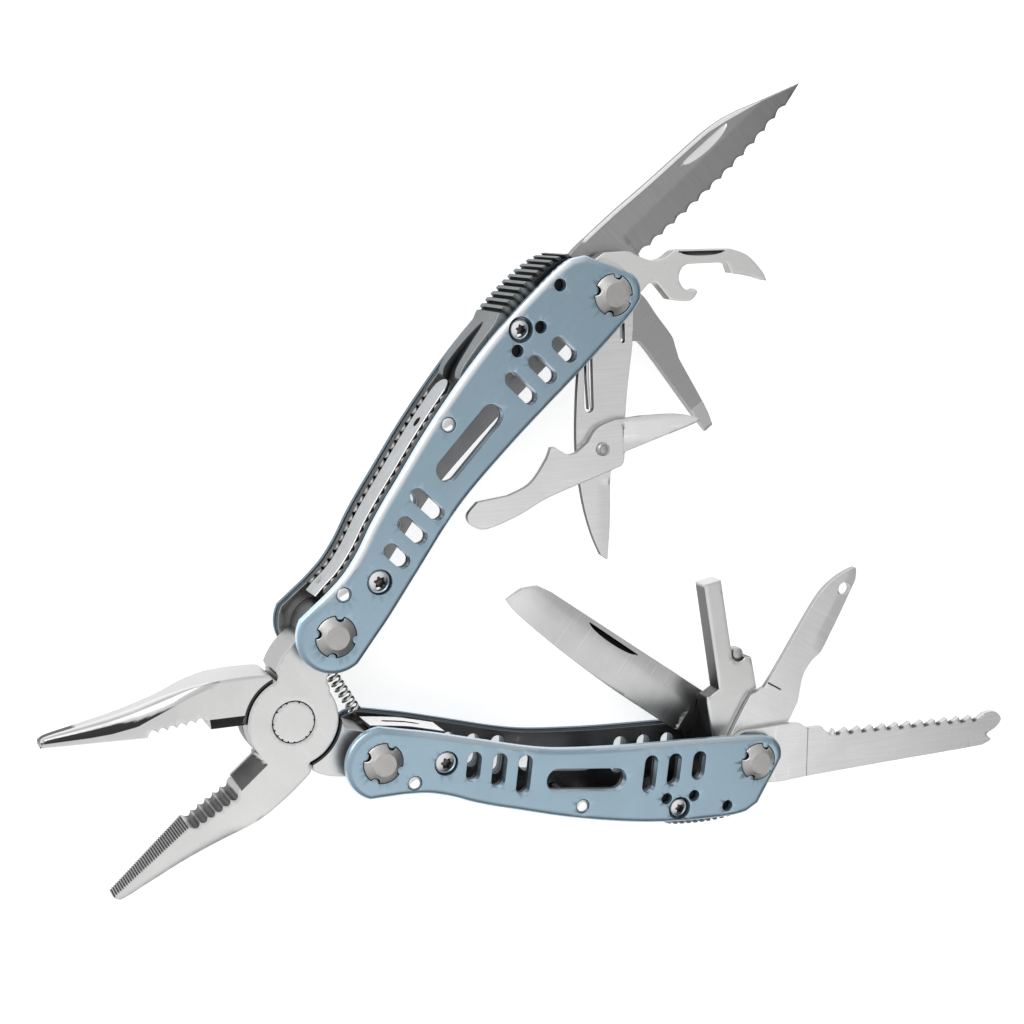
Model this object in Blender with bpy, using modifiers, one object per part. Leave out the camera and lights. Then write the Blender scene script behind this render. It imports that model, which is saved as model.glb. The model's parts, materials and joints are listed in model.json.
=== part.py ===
"""Plier multi-tool with nine fold-out tools, laid flat with its tools fanned out.

Metres, +Z up. The origin is the centre of the box round the whole object, and the viewer looks
down on the front scales. Outlines are given in millimetres in each piece's own frame: a handle's
x runs from its tang pivot to its tool pivot and its y points to the spine, a tool's x runs out
along the tool from the tool pivot, and the pliers head is drawn about the pliers pivot.
"""

import math

import bpy
import bmesh
from mathutils import Vector

MM = 0.001

# Stack through the thickness, from the middle outwards.
HALF_THICKNESS = 8.95
SCALE_INNER = 7.15
LINER_OUTER = 7.0
LINER_INNER = 6.1
JAW_HALF = 4.5
LAP_GAP = 0.15
BOLT_TOP = 10.1

# Pliers head, with the place of its pivot in the whole object.
PLIERS_PIVOT = (-60.17, -44.22)
DISC_RADIUS = 8.95
DISC_CLEARANCE = 9.25
RIVET_RADIUS = 4.1
FRONT_JAW_ANGLE = 220.5
REAR_JAW_ANGLE = 180.3
JAW_REACH = 46.8
TANG_END_RADIUS = 5.2

# Handles: place of the tang pivot from the pliers pivot, direction, and side of the spine.
UPPER = {"name": "upper", "pivot": (7.57, 17.0), "angle": 47.0, "side": 1}
LOWER = {"name": "lower", "pivot": (16.32, -9.2), "angle": -7.1, "side": -1}
PIVOT_SPACING = 85.0
END_RADIUS = 7.4
TANG_PIVOT = (0.0, 0.0)
TOOL_PIVOT = (PIVOT_SPACING, 0.25)
BOLT_HEAD_RADIUS = 4.0
BOLT_HEAD_CLEARANCE = 0.25
GAP_UNDER_HEAD = 0.15
SHAFT_RADIUS = 2.1
SHAFT_HOLE = 2.4
SPINE = [(5, 6.5), (10, 6.3), (15, 7.0), (20, 8.3), (25, 9.3), (30, 10.1), (40, 11.7),
         (50, 12.8), (60, 13.4), (70, 13.25), (80, 12.4), (84, 11.5)]
CHANNEL = [(5, -6.5), (10, -6.0), (20, -4.6), (30, -3.2), (38, -2.7), (50, -3.1),
           (60, -3.8), (70, -4.6), (80, -5.2), (86, -5.3)]
HANDLE_END = [(88.5, -4.9), (90.2, -3.2), (90.9, -1.0), (90.3, 1.0), (86.6, 9.6)]
UPRIGHT_SLOTS = [(19.1, 0.8, 6.1), (24.7, 1.65, 7.1), (30.3, 2.65, 8.3),
                 (59.1, 2.8, 8.1), (64.7, 1.9, 7.1), (70.5, 1.0, 6.2)]
SLOT_WIDTH = 3.0
LONG_SLOT = (44.55, 3.85, 18.1, 4.8)
BLIND_HOLES = [(70.3, 7.6), (63.8, 8.2), (78.8, 10.0)]
BLIND_HOLE_RADIUS = 1.2
SCREW_MAIN = (13.2, 0.1)
SCREW_MAIN_RADIUS = 2.3
SCREW_FAR = (67.2, 10.4)
SCREW_FAR_RADIUS = 2.0
SCREW_HEAD_HOLE = 2.55
SCREW_POST_RADIUS = 1.15
SCREW_POST_HOLE = 1.5
PIN_MAIN = (7.0, 4.1)
PIN_MID = (44.3, 9.5)
PIN_RADIUS = 1.4
PIN_HEAD_HOLE = 1.65
PIN_STEM = 0.7
PIN_STEM_HOLE = 1.0
BAR_START, BAR_END, BAR_HALF_WIDTH = 3.5, 52.0, 3.1
FLANGE_START, FLANGE_PITCH, FLANGE_TEETH = 5.0, 2.0, 22
LEVER_HALF_WIDTH = 5.8
TANG_WASHER_RADIUS = 4.8
TOOL_WASHER_RADIUS = 5.0

# Tool layers: lowest and highest z of each tool in the two handles.
LAYER = {
    "scissors_lever": (4.6, 5.9), "scissors_arm": (3.1, 4.4), "can_opener": (0.1, 2.9),
    "serrated_blade": (-2.8, -1.2), "screwdriver": (-4.8, -3.0),
    "saw_blade": (4.6, 5.9), "awl": (3.1, 4.4), "bit_arm": (-1.4, 2.9),
    "plain_blade": (-5.9, -4.4),
}
# Direction of each tool in the plan view, in degrees.
TOOL_ANGLE = {
    "serrated_blade": 47.0, "can_opener": 0.0, "screwdriver": -55.0, "scissors_arm": -88.0,
    "saw_blade": 0.0, "awl": 60.0, "bit_arm": 100.0, "plain_blade": 145.0,
}
TOOL_BASE_RADIUS = 6.5

ROUND_STEPS = 14

COLOURS = {
    "scale": ((0.30, 0.40, 0.47, 1), 0.35, 0.9),
    "liner": ((0.55, 0.56, 0.57, 1), 0.35, 1.0),
    "satin": ((0.72, 0.72, 0.71, 1), 0.38, 1.0),
    "dark_steel": ((0.33, 0.33, 0.33, 1), 0.42, 1.0),
    "bolt": ((0.66, 0.65, 0.63, 1), 0.45, 1.0),
    "polished": ((0.85, 0.85, 0.84, 1), 0.15, 1.0),
}


def start_scene():
    """An empty scene with one collection for the parts and one for the cutters."""
    for old in list(bpy.data.objects):
        bpy.data.objects.remove(old, do_unlink=True)
    parts = bpy.data.collections.new("multi_tool")
    cutters = bpy.data.collections.new("cutters")
    for collection in (parts, cutters):
        bpy.context.scene.collection.children.link(collection)
    return parts, cutters


PARTS, CUTTERS = start_scene()


def material(kind):
    """The Principled material of one kind of surface, made once."""
    found = bpy.data.materials.get(kind)
    if found:
        return found
    colour, roughness, metallic = COLOURS[kind]
    made = bpy.data.materials.new(kind)
    made.use_nodes = True
    shader = made.node_tree.nodes["Principled BSDF"]
    shader.inputs["Base Color"].default_value = colour
    shader.inputs["Roughness"].default_value = roughness
    shader.inputs["Metallic"].default_value = metallic
    return made


# ---------------------------------------------------------------- outlines, in millimetres

def arc(centre, radius, start, end, steps):
    """Points on an arc, both ends included, angles in degrees."""
    angles = [math.radians(start + (end - start) * i / steps) for i in range(steps + 1)]
    return [(centre[0] + radius * math.cos(a), centre[1] + radius * math.sin(a)) for a in angles]


def circle(centre, radius, steps=ROUND_STEPS):
    return arc(centre, radius, 0, 360, steps)[:-1]


def slot(centre, length, width, upright, steps=3):
    """A slot with round ends."""
    half, radius = (length - width) / 2, width / 2
    if upright:
        return (arc((centre[0], centre[1] + half), radius, 0, 180, steps)
                + arc((centre[0], centre[1] - half), radius, 180, 360, steps))
    return (arc((centre[0] + half, centre[1]), radius, -90, 90, steps)
            + arc((centre[0] - half, centre[1]), radius, 90, 270, steps))


def smooth(points, steps=2):
    """A Catmull-Rom curve through the points, ends included."""
    ends = [points[0]] + list(points) + [points[-1]]
    found = []
    for a, b, c, d in zip(ends, ends[1:], ends[2:], ends[3:]):
        for i in range(steps):
            t = i / steps
            found.append(tuple(
                0.5 * (2 * q + (r - p) * t + (2 * p - 5 * q + 4 * r - s) * t * t
                       + (3 * q - p - 3 * r + s) * t ** 3)
                for p, q, r, s in zip(a, b, c, d)))
    return found + [tuple(points[-1])]


def height_at(points, x):
    """The height of a polyline at x."""
    for (x0, y0), (x1, y1) in zip(points, points[1:]):
        if x0 <= x <= x1:
            return y0 + (y1 - y0) * (x - x0) / (x1 - x0)
    return points[0][1] if x < points[0][0] else points[-1][1]


SPINE_CURVE = smooth([(-6, 6.6)] + SPINE, 3)
CHANNEL_CURVE = smooth([(-6, -6.6)] + CHANNEL, 3)


def spine_at(u):
    return height_at(SPINE_CURVE, u)


def channel_at(u):
    return height_at(CHANNEL_CURVE, u)


def along(path, count):
    """count + 1 points at even distances along a polyline."""
    lengths = [0.0]
    for a, b in zip(path, path[1:]):
        lengths.append(lengths[-1] + math.dist(a, b))
    found = []
    for i in range(count + 1):
        reach = lengths[-1] * i / count
        k = max(j for j in range(len(path) - 1) if lengths[j] <= reach + 1e-9)
        t = (reach - lengths[k]) / (lengths[k + 1] - lengths[k])
        found.append(tuple(p + (q - p) * t for p, q in zip(path[k], path[k + 1])))
    return found


def scalloped(path, count, depth, steps=3):
    """A run of shallow hollows along a path, each cut to the left of its direction."""
    cusps = along(path, count)
    found = []
    for a, b in zip(cusps, cusps[1:]):
        length = math.dist(a, b)
        left = (-(b[1] - a[1]) / length, (b[0] - a[0]) / length)
        for i in range(steps):
            t = i / steps
            sink = depth * math.sin(math.pi * t)
            found.append((a[0] + (b[0] - a[0]) * t + left[0] * sink,
                          a[1] + (b[1] - a[1]) * t + left[1] * sink))
    return found + [cusps[-1]]


def toothed(path, count, depth, rake=0.25):
    """Saw teeth cut to the left of the path, upright on one flank and raked on the other."""
    tips = along(path, count)
    found = []
    for a, b in zip(tips, tips[1:]):
        length = math.dist(a, b)
        left = (-(b[1] - a[1]) / length, (b[0] - a[0]) / length)
        root = (a[0] + (b[0] - a[0]) * rake + left[0] * depth,
                a[1] + (b[1] - a[1]) * rake + left[1] * depth)
        found += [a, root]
    return found + [tips[-1]]


def mirrored(points, side):
    return [(x, y * side) for x, y in points]


# ---------------------------------------------------------------- solids

def link(name, mesh, kind, parent, place, turn):
    """A named part at a place in its parent's frame, turned about +Z in degrees."""
    made = bpy.data.objects.new(name, mesh)
    PARTS.objects.link(made)
    made.location = (place[0] * MM, place[1] * MM, 0)
    made.rotation_euler = (0, 0, math.radians(turn))
    made.parent = parent
    mesh.materials.clear()
    mesh.materials.append(material(kind))
    return made


def axis(name, place, turn, parent=None):
    """An empty on a joint's axis."""
    made = bpy.data.objects.new(name, None)
    made.empty_display_size = 5 * MM
    PARTS.objects.link(made)
    made.location = (place[0] * MM, place[1] * MM, 0)
    made.rotation_euler = (0, 0, math.radians(turn))
    made.parent = parent
    return made


def extruded(outlines, low, high):
    """A mesh of the first outline, less the others, from z = low to z = high."""
    curve = bpy.data.curves.new("outline", "CURVE")
    curve.dimensions = "2D"
    curve.fill_mode = "BOTH"
    curve.extrude = (high - low) / 2 * MM
    for points in outlines:
        spline = curve.splines.new("POLY")
        spline.points.add(len(points) - 1)
        for target, point in zip(spline.points, points):
            target.co = (point[0] * MM, point[1] * MM, 0, 1)
        spline.use_cyclic_u = True
    guide = bpy.data.objects.new("outline", curve)
    bpy.context.scene.collection.objects.link(guide)
    graph = bpy.context.evaluated_depsgraph_get()
    mesh = bpy.data.meshes.new_from_object(guide.evaluated_get(graph))
    bpy.data.objects.remove(guide)
    bpy.data.curves.remove(curve)
    shift = Vector((0, 0, (high + low) / 2 * MM))
    shape = bmesh.new()
    shape.from_mesh(mesh)
    bmesh.ops.remove_doubles(shape, verts=shape.verts, dist=1e-6)
    bmesh.ops.translate(shape, verts=shape.verts, vec=shift)
    bmesh.ops.recalc_face_normals(shape, faces=shape.faces)
    shape.to_mesh(mesh)
    shape.free()
    return mesh


def plate(name, outlines, layer, kind, parent=None, place=(0, 0), turn=0):
    return link(name, extruded(outlines, *layer), kind, parent, place, turn)


def turned(name, profile, kind, parent=None, place=(0, 0), steps=ROUND_STEPS):
    """A round piece from its (radius, z) profile, listed from the top down."""
    shape = bmesh.new()
    points = [shape.verts.new((radius * MM, 0, z * MM)) for radius, z in profile]
    for a, b in zip(points, points[1:]):
        shape.edges.new((a, b))
    mesh = bpy.data.meshes.new(name)
    shape.to_mesh(mesh)
    shape.free()
    made = link(name, mesh, kind, parent, place, 0)
    screw = made.modifiers.new("turn", "SCREW")
    screw.steps = steps
    screw.render_steps = steps
    screw.use_merge_vertices = True
    screw.merge_threshold = 0.00001
    screw.use_smooth_shade = False
    return made


def rod(radius, low, high, hole=0):
    """Profile of a plain cylinder or ring, from the top down."""
    if hole:
        return [(hole, high), (radius, high), (radius, low), (hole, low), (hole, high)]
    return [(0, high), (radius, high), (radius, low), (0, low)]


def bend(mesh, height, depth, side):
    """Stands a flat sheet drawn in (u, z) on edge and lays it along a height curve."""
    for vertex in mesh.vertices:
        u, z, thickness = vertex.co / MM
        vertex.co = Vector((u, side * (height(u) + depth + thickness), z)) * MM
    shape = bmesh.new()
    shape.from_mesh(mesh)
    bmesh.ops.recalc_face_normals(shape, faces=shape.faces)
    shape.to_mesh(mesh)
    shape.free()


def cutter(mesh, target, operation="DIFFERENCE", solver="EXACT"):
    """Adds a Boolean on the target, in the target's own frame."""
    tool = bpy.data.objects.new(f"{target.name}_{operation.lower()}", mesh)
    CUTTERS.objects.link(tool)
    tool.parent = target
    tool.hide_render = True
    tool.display_type = "WIRE"
    change = target.modifiers.new(operation.lower(), "BOOLEAN")
    change.operation = operation
    change.solver = solver
    change.object = tool


def prism(points, axes, low, high):
    """A prism over an outline drawn in two of the axes, run along the third."""
    mesh = extruded([points], low, high)
    first, second, third = ("xyz".index(letter) for letter in axes)
    for vertex in mesh.vertices:
        a, b, c = vertex.co
        place = [0.0, 0.0, 0.0]
        place[first], place[second], place[third] = a, b, c
        vertex.co = place
    shape = bmesh.new()
    shape.from_mesh(mesh)
    bmesh.ops.recalc_face_normals(shape, faces=shape.faces)
    shape.to_mesh(mesh)
    shape.free()
    return mesh


# ---------------------------------------------------------------- pliers head

def tang_outline(angle, reach):
    """The tang at that angle from the jaw, outwards along one side and back along the other."""
    turn = math.radians(angle)
    out = [(8.6, -4.2), (10.4, -3.0), (12.2, -3.4)]
    end = arc((reach, 0), TANG_END_RADIUS, -130, 112, 10)
    back = [(14.0, 6.1), (9.6, 7.2), (8.2, 7.2), (7.4, 6.3)]
    return [(a * math.cos(turn) - b * math.sin(turn), a * math.sin(turn) + b * math.cos(turn))
            for a, b in out + end + back]


def jaw(name, direction, side, pivot, parent):
    """One jaw with its half disc and tang. Its x runs along the jaw and its y to the back."""
    reach = math.hypot(*pivot)
    tang_angle = (math.degrees(math.atan2(pivot[1], pivot[0])) - direction) * side % 360
    cut = [(DISC_CLEARANCE, 0.15), (15.6, 0.15), (16.0, 2.0)]
    recess = scalloped([(17.0, 2.4), (22.5, 1.6), (27.5, 0.8)], 6, 0.65)
    grip = [(27.8, 0.15), (JAW_REACH, 0.15)]
    back = smooth([(46.7, 1.2), (45.6, 2.1), (40.0, 3.3), (32.3, 5.0), (25.8, 6.9), (20.0, 8.8),
                   (16.3, 9.6), (12.0, 10.0), (8.4, 10.1), (4.4, 9.8), (3.6, 8.4)])
    above = arc((0, 0), DISC_RADIUS, 70, tang_angle - 31, 10)
    below = arc((0, 0), DISC_RADIUS, tang_angle + 44, 356, 10)
    outline = cut + recess + grip + back + above + tang_outline(tang_angle, reach) + below
    layer = (-JAW_HALF, JAW_HALF)
    body = plate(name, [mirrored(outline, side)], layer, "satin", parent, turn=direction)
    lap = (-JAW_HALF - 1, LAP_GAP) if side > 0 else (-LAP_GAP, JAW_HALF + 1)
    cutter(extruded([circle((0, 0), DISC_CLEARANCE, 36)], *lap), body)
    cutter(extruded([circle((0, 0), RIVET_RADIUS + 0.25, 24)], -6, 6), body)
    place = arc((0, 0), reach, tang_angle * side, 0, 1)[0]
    cutter(extruded([circle(place, SHAFT_HOLE)], -6, 6), body)
    for face in (1, -1):
        wedge = [(-1, 0.3), (0.15, 0.3), (2.5, JAW_HALF), (2.5, 6), (-1, 6)]
        wedge = [(n * side, z * face) for n, z in wedge]
        cutter(prism(wedge, "yzx", DISC_CLEARANCE - 0.2, 16.4), body)
        taper = [(22, JAW_HALF), (47.5, 2.05), (47.5, 6), (22, 6)]
        cutter(prism(mirrored(taper, face), "xzy", -12, 12), body)
    return body


def coil_spring(name, start, end, radius, wire, turns, parent):
    """A coil between two points of the plan view, as a bevelled curve with closed ends."""
    steps = 10
    run = Vector((end[0] - start[0], end[1] - start[1], 0))
    across = Vector((-run.y, run.x, 0)).normalized()
    curve = bpy.data.curves.new(name, "CURVE")
    curve.dimensions = "3D"
    curve.bevel_depth = wire * MM
    curve.bevel_resolution = 1
    curve.use_fill_caps = True
    spline = curve.splines.new("POLY")
    spline.points.add(turns * steps)
    for i, point in enumerate(spline.points):
        turn = 2 * math.pi * i / steps
        spot = (Vector((start[0], start[1], 0)) + run * (i / (turns * steps))
                + across * radius * math.cos(turn) + Vector((0, 0, radius * math.sin(turn))))
        point.co = (*(spot * MM), 1)
    made = bpy.data.objects.new(name, curve)
    PARTS.objects.link(made)
    made.parent = parent
    made.data.materials.append(material("polished"))
    return made


# ---------------------------------------------------------------- handles

def handle_outline(inset):
    """Outline of a scale or a liner, counted from the tang pivot."""
    end = arc((0, 0.2), END_RADIUS - inset, 104, 260, 10)
    channel = [(u, v + inset) for u, v in smooth(CHANNEL, 1)]
    far = [(u - inset, v) for u, v in smooth(HANDLE_END, 2)]
    spine = [(u, v - inset) for u, v in smooth(SPINE[::-1], 1)]
    return end + channel + far + spine


def slots():
    upright = [slot((u, v), length, SLOT_WIDTH, True) for u, v, length in UPRIGHT_SLOTS]
    u, v, length, width = LONG_SLOT
    return upright + [slot((u, v), length, width, False)]


def holes(bolt, screw, pin):
    """Round holes of a side plate, for these three radii."""
    pivots = [circle(place, bolt, 16) for place in (TANG_PIVOT, TOOL_PIVOT)]
    screws = [circle(place, screw, 10) for place in (SCREW_MAIN, SCREW_FAR)]
    pins = [circle(place, pin, 8) for place in (PIN_MAIN, PIN_MID)]
    return pivots + screws + pins


def scale(frame, which, parent):
    face = 1 if which == "front" else -1
    blind = [circle(place, BLIND_HOLE_RADIUS, 8) for place in BLIND_HOLES]
    round_holes = holes(BOLT_HEAD_RADIUS + BOLT_HEAD_CLEARANCE, SCREW_HEAD_HOLE, PIN_HEAD_HOLE)
    outlines = [handle_outline(0)] + slots() + round_holes + blind
    layer = sorted((SCALE_INNER * face, HALF_THICKNESS * face))
    outlines = [mirrored(points, frame["side"]) for points in outlines]
    return plate(f"{frame['name']}_{which}_scale", outlines, layer, "scale", parent)


def liner(frame, which, parent):
    """A side plate with a toothed flange turned in along the spine."""
    face = 1 if which == "front" else -1
    outlines = [handle_outline(0.5)] + slots() + holes(SHAFT_HOLE, SCREW_POST_HOLE, PIN_STEM_HOLE)
    layer = sorted((LINER_INNER * face, LINER_OUTER * face))
    outlines = [mirrored(points, frame["side"]) for points in outlines]
    body = plate(f"{frame['name']}_{which}_liner", outlines, layer, "liner", parent)
    comb = [(FLANGE_START + FLANGE_PITCH * i / 2, 3.5 if i % 2 else 4.7)
            for i in range(2 * FLANGE_TEETH + 1)]
    top = [(u, LINER_INNER + 0.4) for u in range(49, 4, -4)]
    flange = extruded([mirrored(comb + top, face)], -0.35, 0.35)
    bend(flange, spine_at, -1.15, frame["side"])
    cutter(flange, body, "UNION", "MANIFOLD")
    return body


def spring_bar(frame, parent):
    """The strip along the spine, round at the lever end, with a small hole."""
    width = BAR_HALF_WIDTH
    edge = [(u, -width) for u in range(8, 49, 4)]
    round_end = arc((BAR_END - width, 0), width, -60, 60, 6)
    outline = [(BAR_START, -width)] + edge + round_end + [(u, width) for u, _ in edge[::-1]]
    outline += [(BAR_START, width)]
    mesh = extruded([outline, circle((42.0, 0), 1.0, 8)], -0.5, 0.5)
    bend(mesh, spine_at, -0.9, frame["side"])
    return link(f"{frame['name']}_spring_bar", mesh, "satin", parent, (0, 0), 0)


def channel_leaf(frame, parent):
    """The cross plate at the mouth of the channel, split by a narrow slit."""
    width = 3.4
    edge = [(u, -width) for u in range(2, 15, 4)]
    outline = [(-1.5, -width)] + edge + [(15, -width), (15, width)]
    outline += [(u, width) for u, _ in edge[::-1]] + [(-1.5, width)]
    slit = slot((6, 0), 8, 0.7, False, 2)
    mesh = extruded([outline, slit], -0.4, 0.4)
    bend(mesh, channel_at, 0.7, frame["side"])
    return link(f"{frame['name']}_channel_leaf", mesh, "satin", parent, (0, 0), 0)


def lock_lever(frame, parent):
    """The thumb lever of the lock. Its origin is the far screw that it rocks on."""
    top = smooth([(52.6, 12.4), (54.5, 13.5), (60, 14.05), (68, 14.1), (76, 13.6), (82, 12.5)])
    under = [(85.2, 10.9), (84.4, 9.7), (78, 10.9), (71.0, 11.3)]
    boss = arc(SCREW_FAR, 2.7, 0, -180, 6)
    outline = top + under + boss + [(63.5, 11.3), (58, 11.4), (53.2, 11.2)]
    hole = circle(SCREW_FAR, SCREW_POST_HOLE, 10)
    local = [[(u - SCREW_FAR[0], v - SCREW_FAR[1]) for u, v in points]
             for points in (outline, hole)]
    local = [mirrored(points, frame["side"]) for points in local]
    place = mirrored([SCREW_FAR], frame["side"])[0]
    layer = (-LEVER_HALF_WIDTH, LEVER_HALF_WIDTH)
    return plate(f"{frame['name']}_lock_lever", local, layer, "liner", parent, place)


def bolt(frame, which, place, parent):
    """A pivot bolt with a coned head in front, and its nut behind."""
    name, head, reach = frame["name"], BOLT_HEAD_RADIUS, LINER_OUTER + GAP_UNDER_HEAD
    turned(f"{name}_{which}_bolt", [
        (0, BOLT_TOP), (2.3, BOLT_TOP), (2.6, BOLT_TOP - 0.2), (head - 0.2, HALF_THICKNESS),
        (head, HALF_THICKNESS - 0.3), (head, reach), (SHAFT_RADIUS, reach),
        (SHAFT_RADIUS, -LINER_OUTER), (0, -LINER_OUTER)], "bolt", parent, place, 16)
    turned(f"{name}_{which}_nut", [
        (0, -reach), (head, -reach), (head, -HALF_THICKNESS), (head - 0.8, -BOLT_TOP),
        (0, -BOLT_TOP)], "bolt", parent, place, 16)


def screw(frame, which, place, radius, parent):
    """A small domed screw with its post, and its rear head."""
    base = LINER_OUTER + GAP_UNDER_HEAD
    top = HALF_THICKNESS
    turned(f"{frame['name']}_screw_{which}", [
        (0, top), (radius * 0.6, top - 0.1), (radius, top - 0.5), (radius, base),
        (SCREW_POST_RADIUS, base), (SCREW_POST_RADIUS, -LINER_OUTER), (0, -LINER_OUTER)],
        "polished", parent, place, 10)
    turned(f"{frame['name']}_rear_screw_{which}", [
        (0, -base), (radius, -base), (radius, 0.5 - top), (radius * 0.6, 0.1 - top),
        (0, -top)], "polished", parent, place, 10)


def washer(name, radius, low, high, place, parent):
    turned(name, rod(radius, low, high, SHAFT_HOLE), "satin", parent, place, 12)


def handle(frame, parent):
    """All fixed pieces of one handle, on an empty at its tang pivot."""
    name, side = frame["name"], frame["side"]
    pivot = axis(f"{name}_handle", frame["pivot"], frame["angle"], parent)
    for which in ("front", "back"):
        scale(frame, which, pivot)
        liner(frame, which, pivot)
    spring_bar(frame, pivot)
    channel_leaf(frame, pivot)
    lock_lever(frame, pivot)
    main, far = mirrored([TANG_PIVOT, TOOL_PIVOT], side)
    bolt(frame, "main", main, pivot)
    bolt(frame, "far", far, pivot)
    screw(frame, "main", mirrored([SCREW_MAIN], side)[0], SCREW_MAIN_RADIUS, pivot)
    screw(frame, "far", mirrored([SCREW_FAR], side)[0], SCREW_FAR_RADIUS, pivot)
    reach = HALF_THICKNESS - 0.05
    for which, place in (("main", PIN_MAIN), ("mid", PIN_MID)):
        turned(f"{name}_pin_{which}", [
            (0, reach), (PIN_RADIUS, reach), (PIN_RADIUS, SCALE_INNER), (PIN_STEM, SCALE_INNER),
            (PIN_STEM, -SCALE_INNER), (PIN_RADIUS, -SCALE_INNER), (PIN_RADIUS, -reach),
            (0, -reach)], "polished", pivot, mirrored([place], side)[0], 10)
    inside, outside = JAW_HALF + LAP_GAP, LINER_INNER - LAP_GAP
    washer(f"{name}_main_washer_front", TANG_WASHER_RADIUS, inside, outside, main, pivot)
    washer(f"{name}_main_washer_back", TANG_WASHER_RADIUS, -outside, -inside, main, pivot)
    return axis(f"{name}_tools", far, -frame["angle"], pivot)


# ---------------------------------------------------------------- fold-out tools

def tool(name, outlines, parent, kind="satin"):
    """A flat tool with its pivot hole, turned to its direction in the plan view."""
    pivot_hole = circle((0, 0), SHAFT_HOLE)
    return plate(name, [outlines[0], pivot_hole] + outlines[1:], LAYER[name], kind, parent,
                 turn=TOOL_ANGLE[name])


def base(start, end, steps=9):
    """The round base of a tool about its pivot."""
    return arc((0, 0), TOOL_BASE_RADIUS, start, end, steps)


def serrated_blade(parent):
    spine = [(0.0, 8.0), (3.4, 8.5), (14.0, 7.2), (24.0, 5.5), (39.0, 3.2), (45.0, 1.7),
             (49.0, 0.0), (53.5, -2.3), (62.3, -6.4)]
    edge = smooth([(56.9, -7.2), (43.3, -7.0), (30.0, -5.7), (15.8, -3.7), (12.4, -3.1)])
    outline = base(230, 110) + spine + scalloped(edge, 13, -0.7, 3) + [(9.5, -4.4), (4.0, -5.6)]
    return tool("serrated_blade", [outline], parent, "dark_steel")


def can_opener(parent):
    top = [(0.8, 7.9), (5.8, 8.1), (7.5, 7.5), (9.3, 6.8), (11.3, 6.3), (13.3, 6.4),
           (14.8, 7.1), (16.3, 8.1), (18.0, 8.35)]
    hook = smooth([(29.3, 8.4), (33.3, 7.0), (36.8, 3.8), (37.9, 1.8)])
    under = [(29.5, 3.5), (29.1, 4.6), (28.4, 5.4), (26.0, 5.6), (19.3, 5.4)]
    mouth = smooth([(18.2, 4.8), (17.5, 2.7), (18.6, 0.7), (20.3, 0.2), (21.4, 0.5)])
    lip = [(21.9, -0.2), (20.0, -1.9), (15.5, -1.5)]
    notch = smooth([(13.8, 0.4), (12.4, 1.7), (10.8, 1.7), (9.4, 0.4), (6.4, -2.5)])
    outline = base(-40, -255, 12) + top + hook + under + mouth + lip + notch
    return tool("can_opener", [outline], parent)


def screwdriver(parent):
    top = [(4.5, 8.6), (8.4, 9.8), (12.9, 10.0), (18.4, 10.45), (20.9, 9.9), (23.4, 9.2),
           (36.9, 8.6), (39.8, 8.1), (39.9, 5.8)]
    under = [(33.9, 5.3), (20.9, 4.5), (15.4, 3.9), (14.0, 2.6), (10.0, -1.0)]
    outline = base(-40, -255, 12) + top + under
    return tool("screwdriver", [outline], parent, "dark_steel")


def scissors(parent):
    """The fixed blade on its arm, the sprung lever with the moving blade, and their rivet."""
    right = [(2.0, 6.6), (10.0, 6.1), (20.0, 4.6), (31.4, 3.6), (35.0, 0.8), (45.0, 0.2),
             (53.2, -0.6)]
    left = smooth([(52.0, -2.1), (47.0, -4.1), (40.0, -5.8), (30.5, -6.8), (20.0, -6.4),
                   (10.0, -5.3), (5.0, -5.0)])
    rivet = (30.3, -1.8)
    outlines = [base(-60, -270, 12) + right + left, circle(rivet, 1.1, 10),
                slot((16.5, -3.8), 13.0, 2.0, False)]
    arm = tool("scissors_arm", outlines, parent)
    neck = smooth([(1.2, 4.9), (3.4, 4.4), (4.4, 1.9), (6.2, -4.3), (8.7, -12.6), (11.4, -18.6),
                   (13.4, -25.6), (12.2, -28.7), (10.2, -29.3), (7.9, -27.1)])
    inner = smooth([(7.3, -20.6), (5.4, -15.9), (1.4, -12.5), (-1.3, -11.2)])
    shoulder = [(-1.3, -10.3), (0.4, -7.6), (0.2, -5.7)]
    side = smooth([(-1.6, -3.1), (-4.3, -0.9), (-5.6, 3.0)])
    blade = smooth([(-5.9, 8.9), (-5.6, 17.0), (-4.0, 22.2), (-2.1, 16.9)])
    outline = (neck + inner + shoulder + side + blade)[::-1]
    plate("scissors_lever", [outline, circle((0, 0), 1.1, 10)], LAYER["scissors_lever"],
          "satin", arm, rivet)
    low, high = LAYER["scissors_arm"][0], LAYER["scissors_lever"][1]
    turned("scissors_rivet", [(0, high + 0.9), (0.9, high + 0.8), (1.35, high + 0.2),
                              (0.85, high + 0.2), (0.85, low), (0, low)],
           "satin", arm, rivet, 12)
    strip = [(11.0, -4.1), (16.0, -4.2), (22.4, -3.9), (22.4, -3.4), (16.0, -3.6), (11.0, -3.5)]
    plate("scissors_spring", [strip], LAYER["scissors_arm"], "dark_steel", arm)
    return arm


def saw_blade(parent):
    top = [(3.0, 6.4), (8.5, 6.5), (12.0, 6.3), (13.8, 5.1), (17.5, 4.9), (18.3, 4.1),
           (20.3, 2.8)]
    teeth = toothed([(20.9, 3.9), (61.2, 2.3)], 12, -1.5)
    tip = smooth([(61.4, 2.6), (64.5, 2.7), (66.5, 0.8), (65.3, -1.1), (62.7, -2.5),
                  (63.9, -4.0), (61.5, -5.0)])
    under = [(54.0, -5.2), (29.0, -5.7), (14.0, -6.1), (8.0, -6.4), (4.0, -6.2)]
    outline = base(-80, -255, 10) + top + teeth + tip + under
    return tool("saw_blade", [outline], parent)


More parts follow.
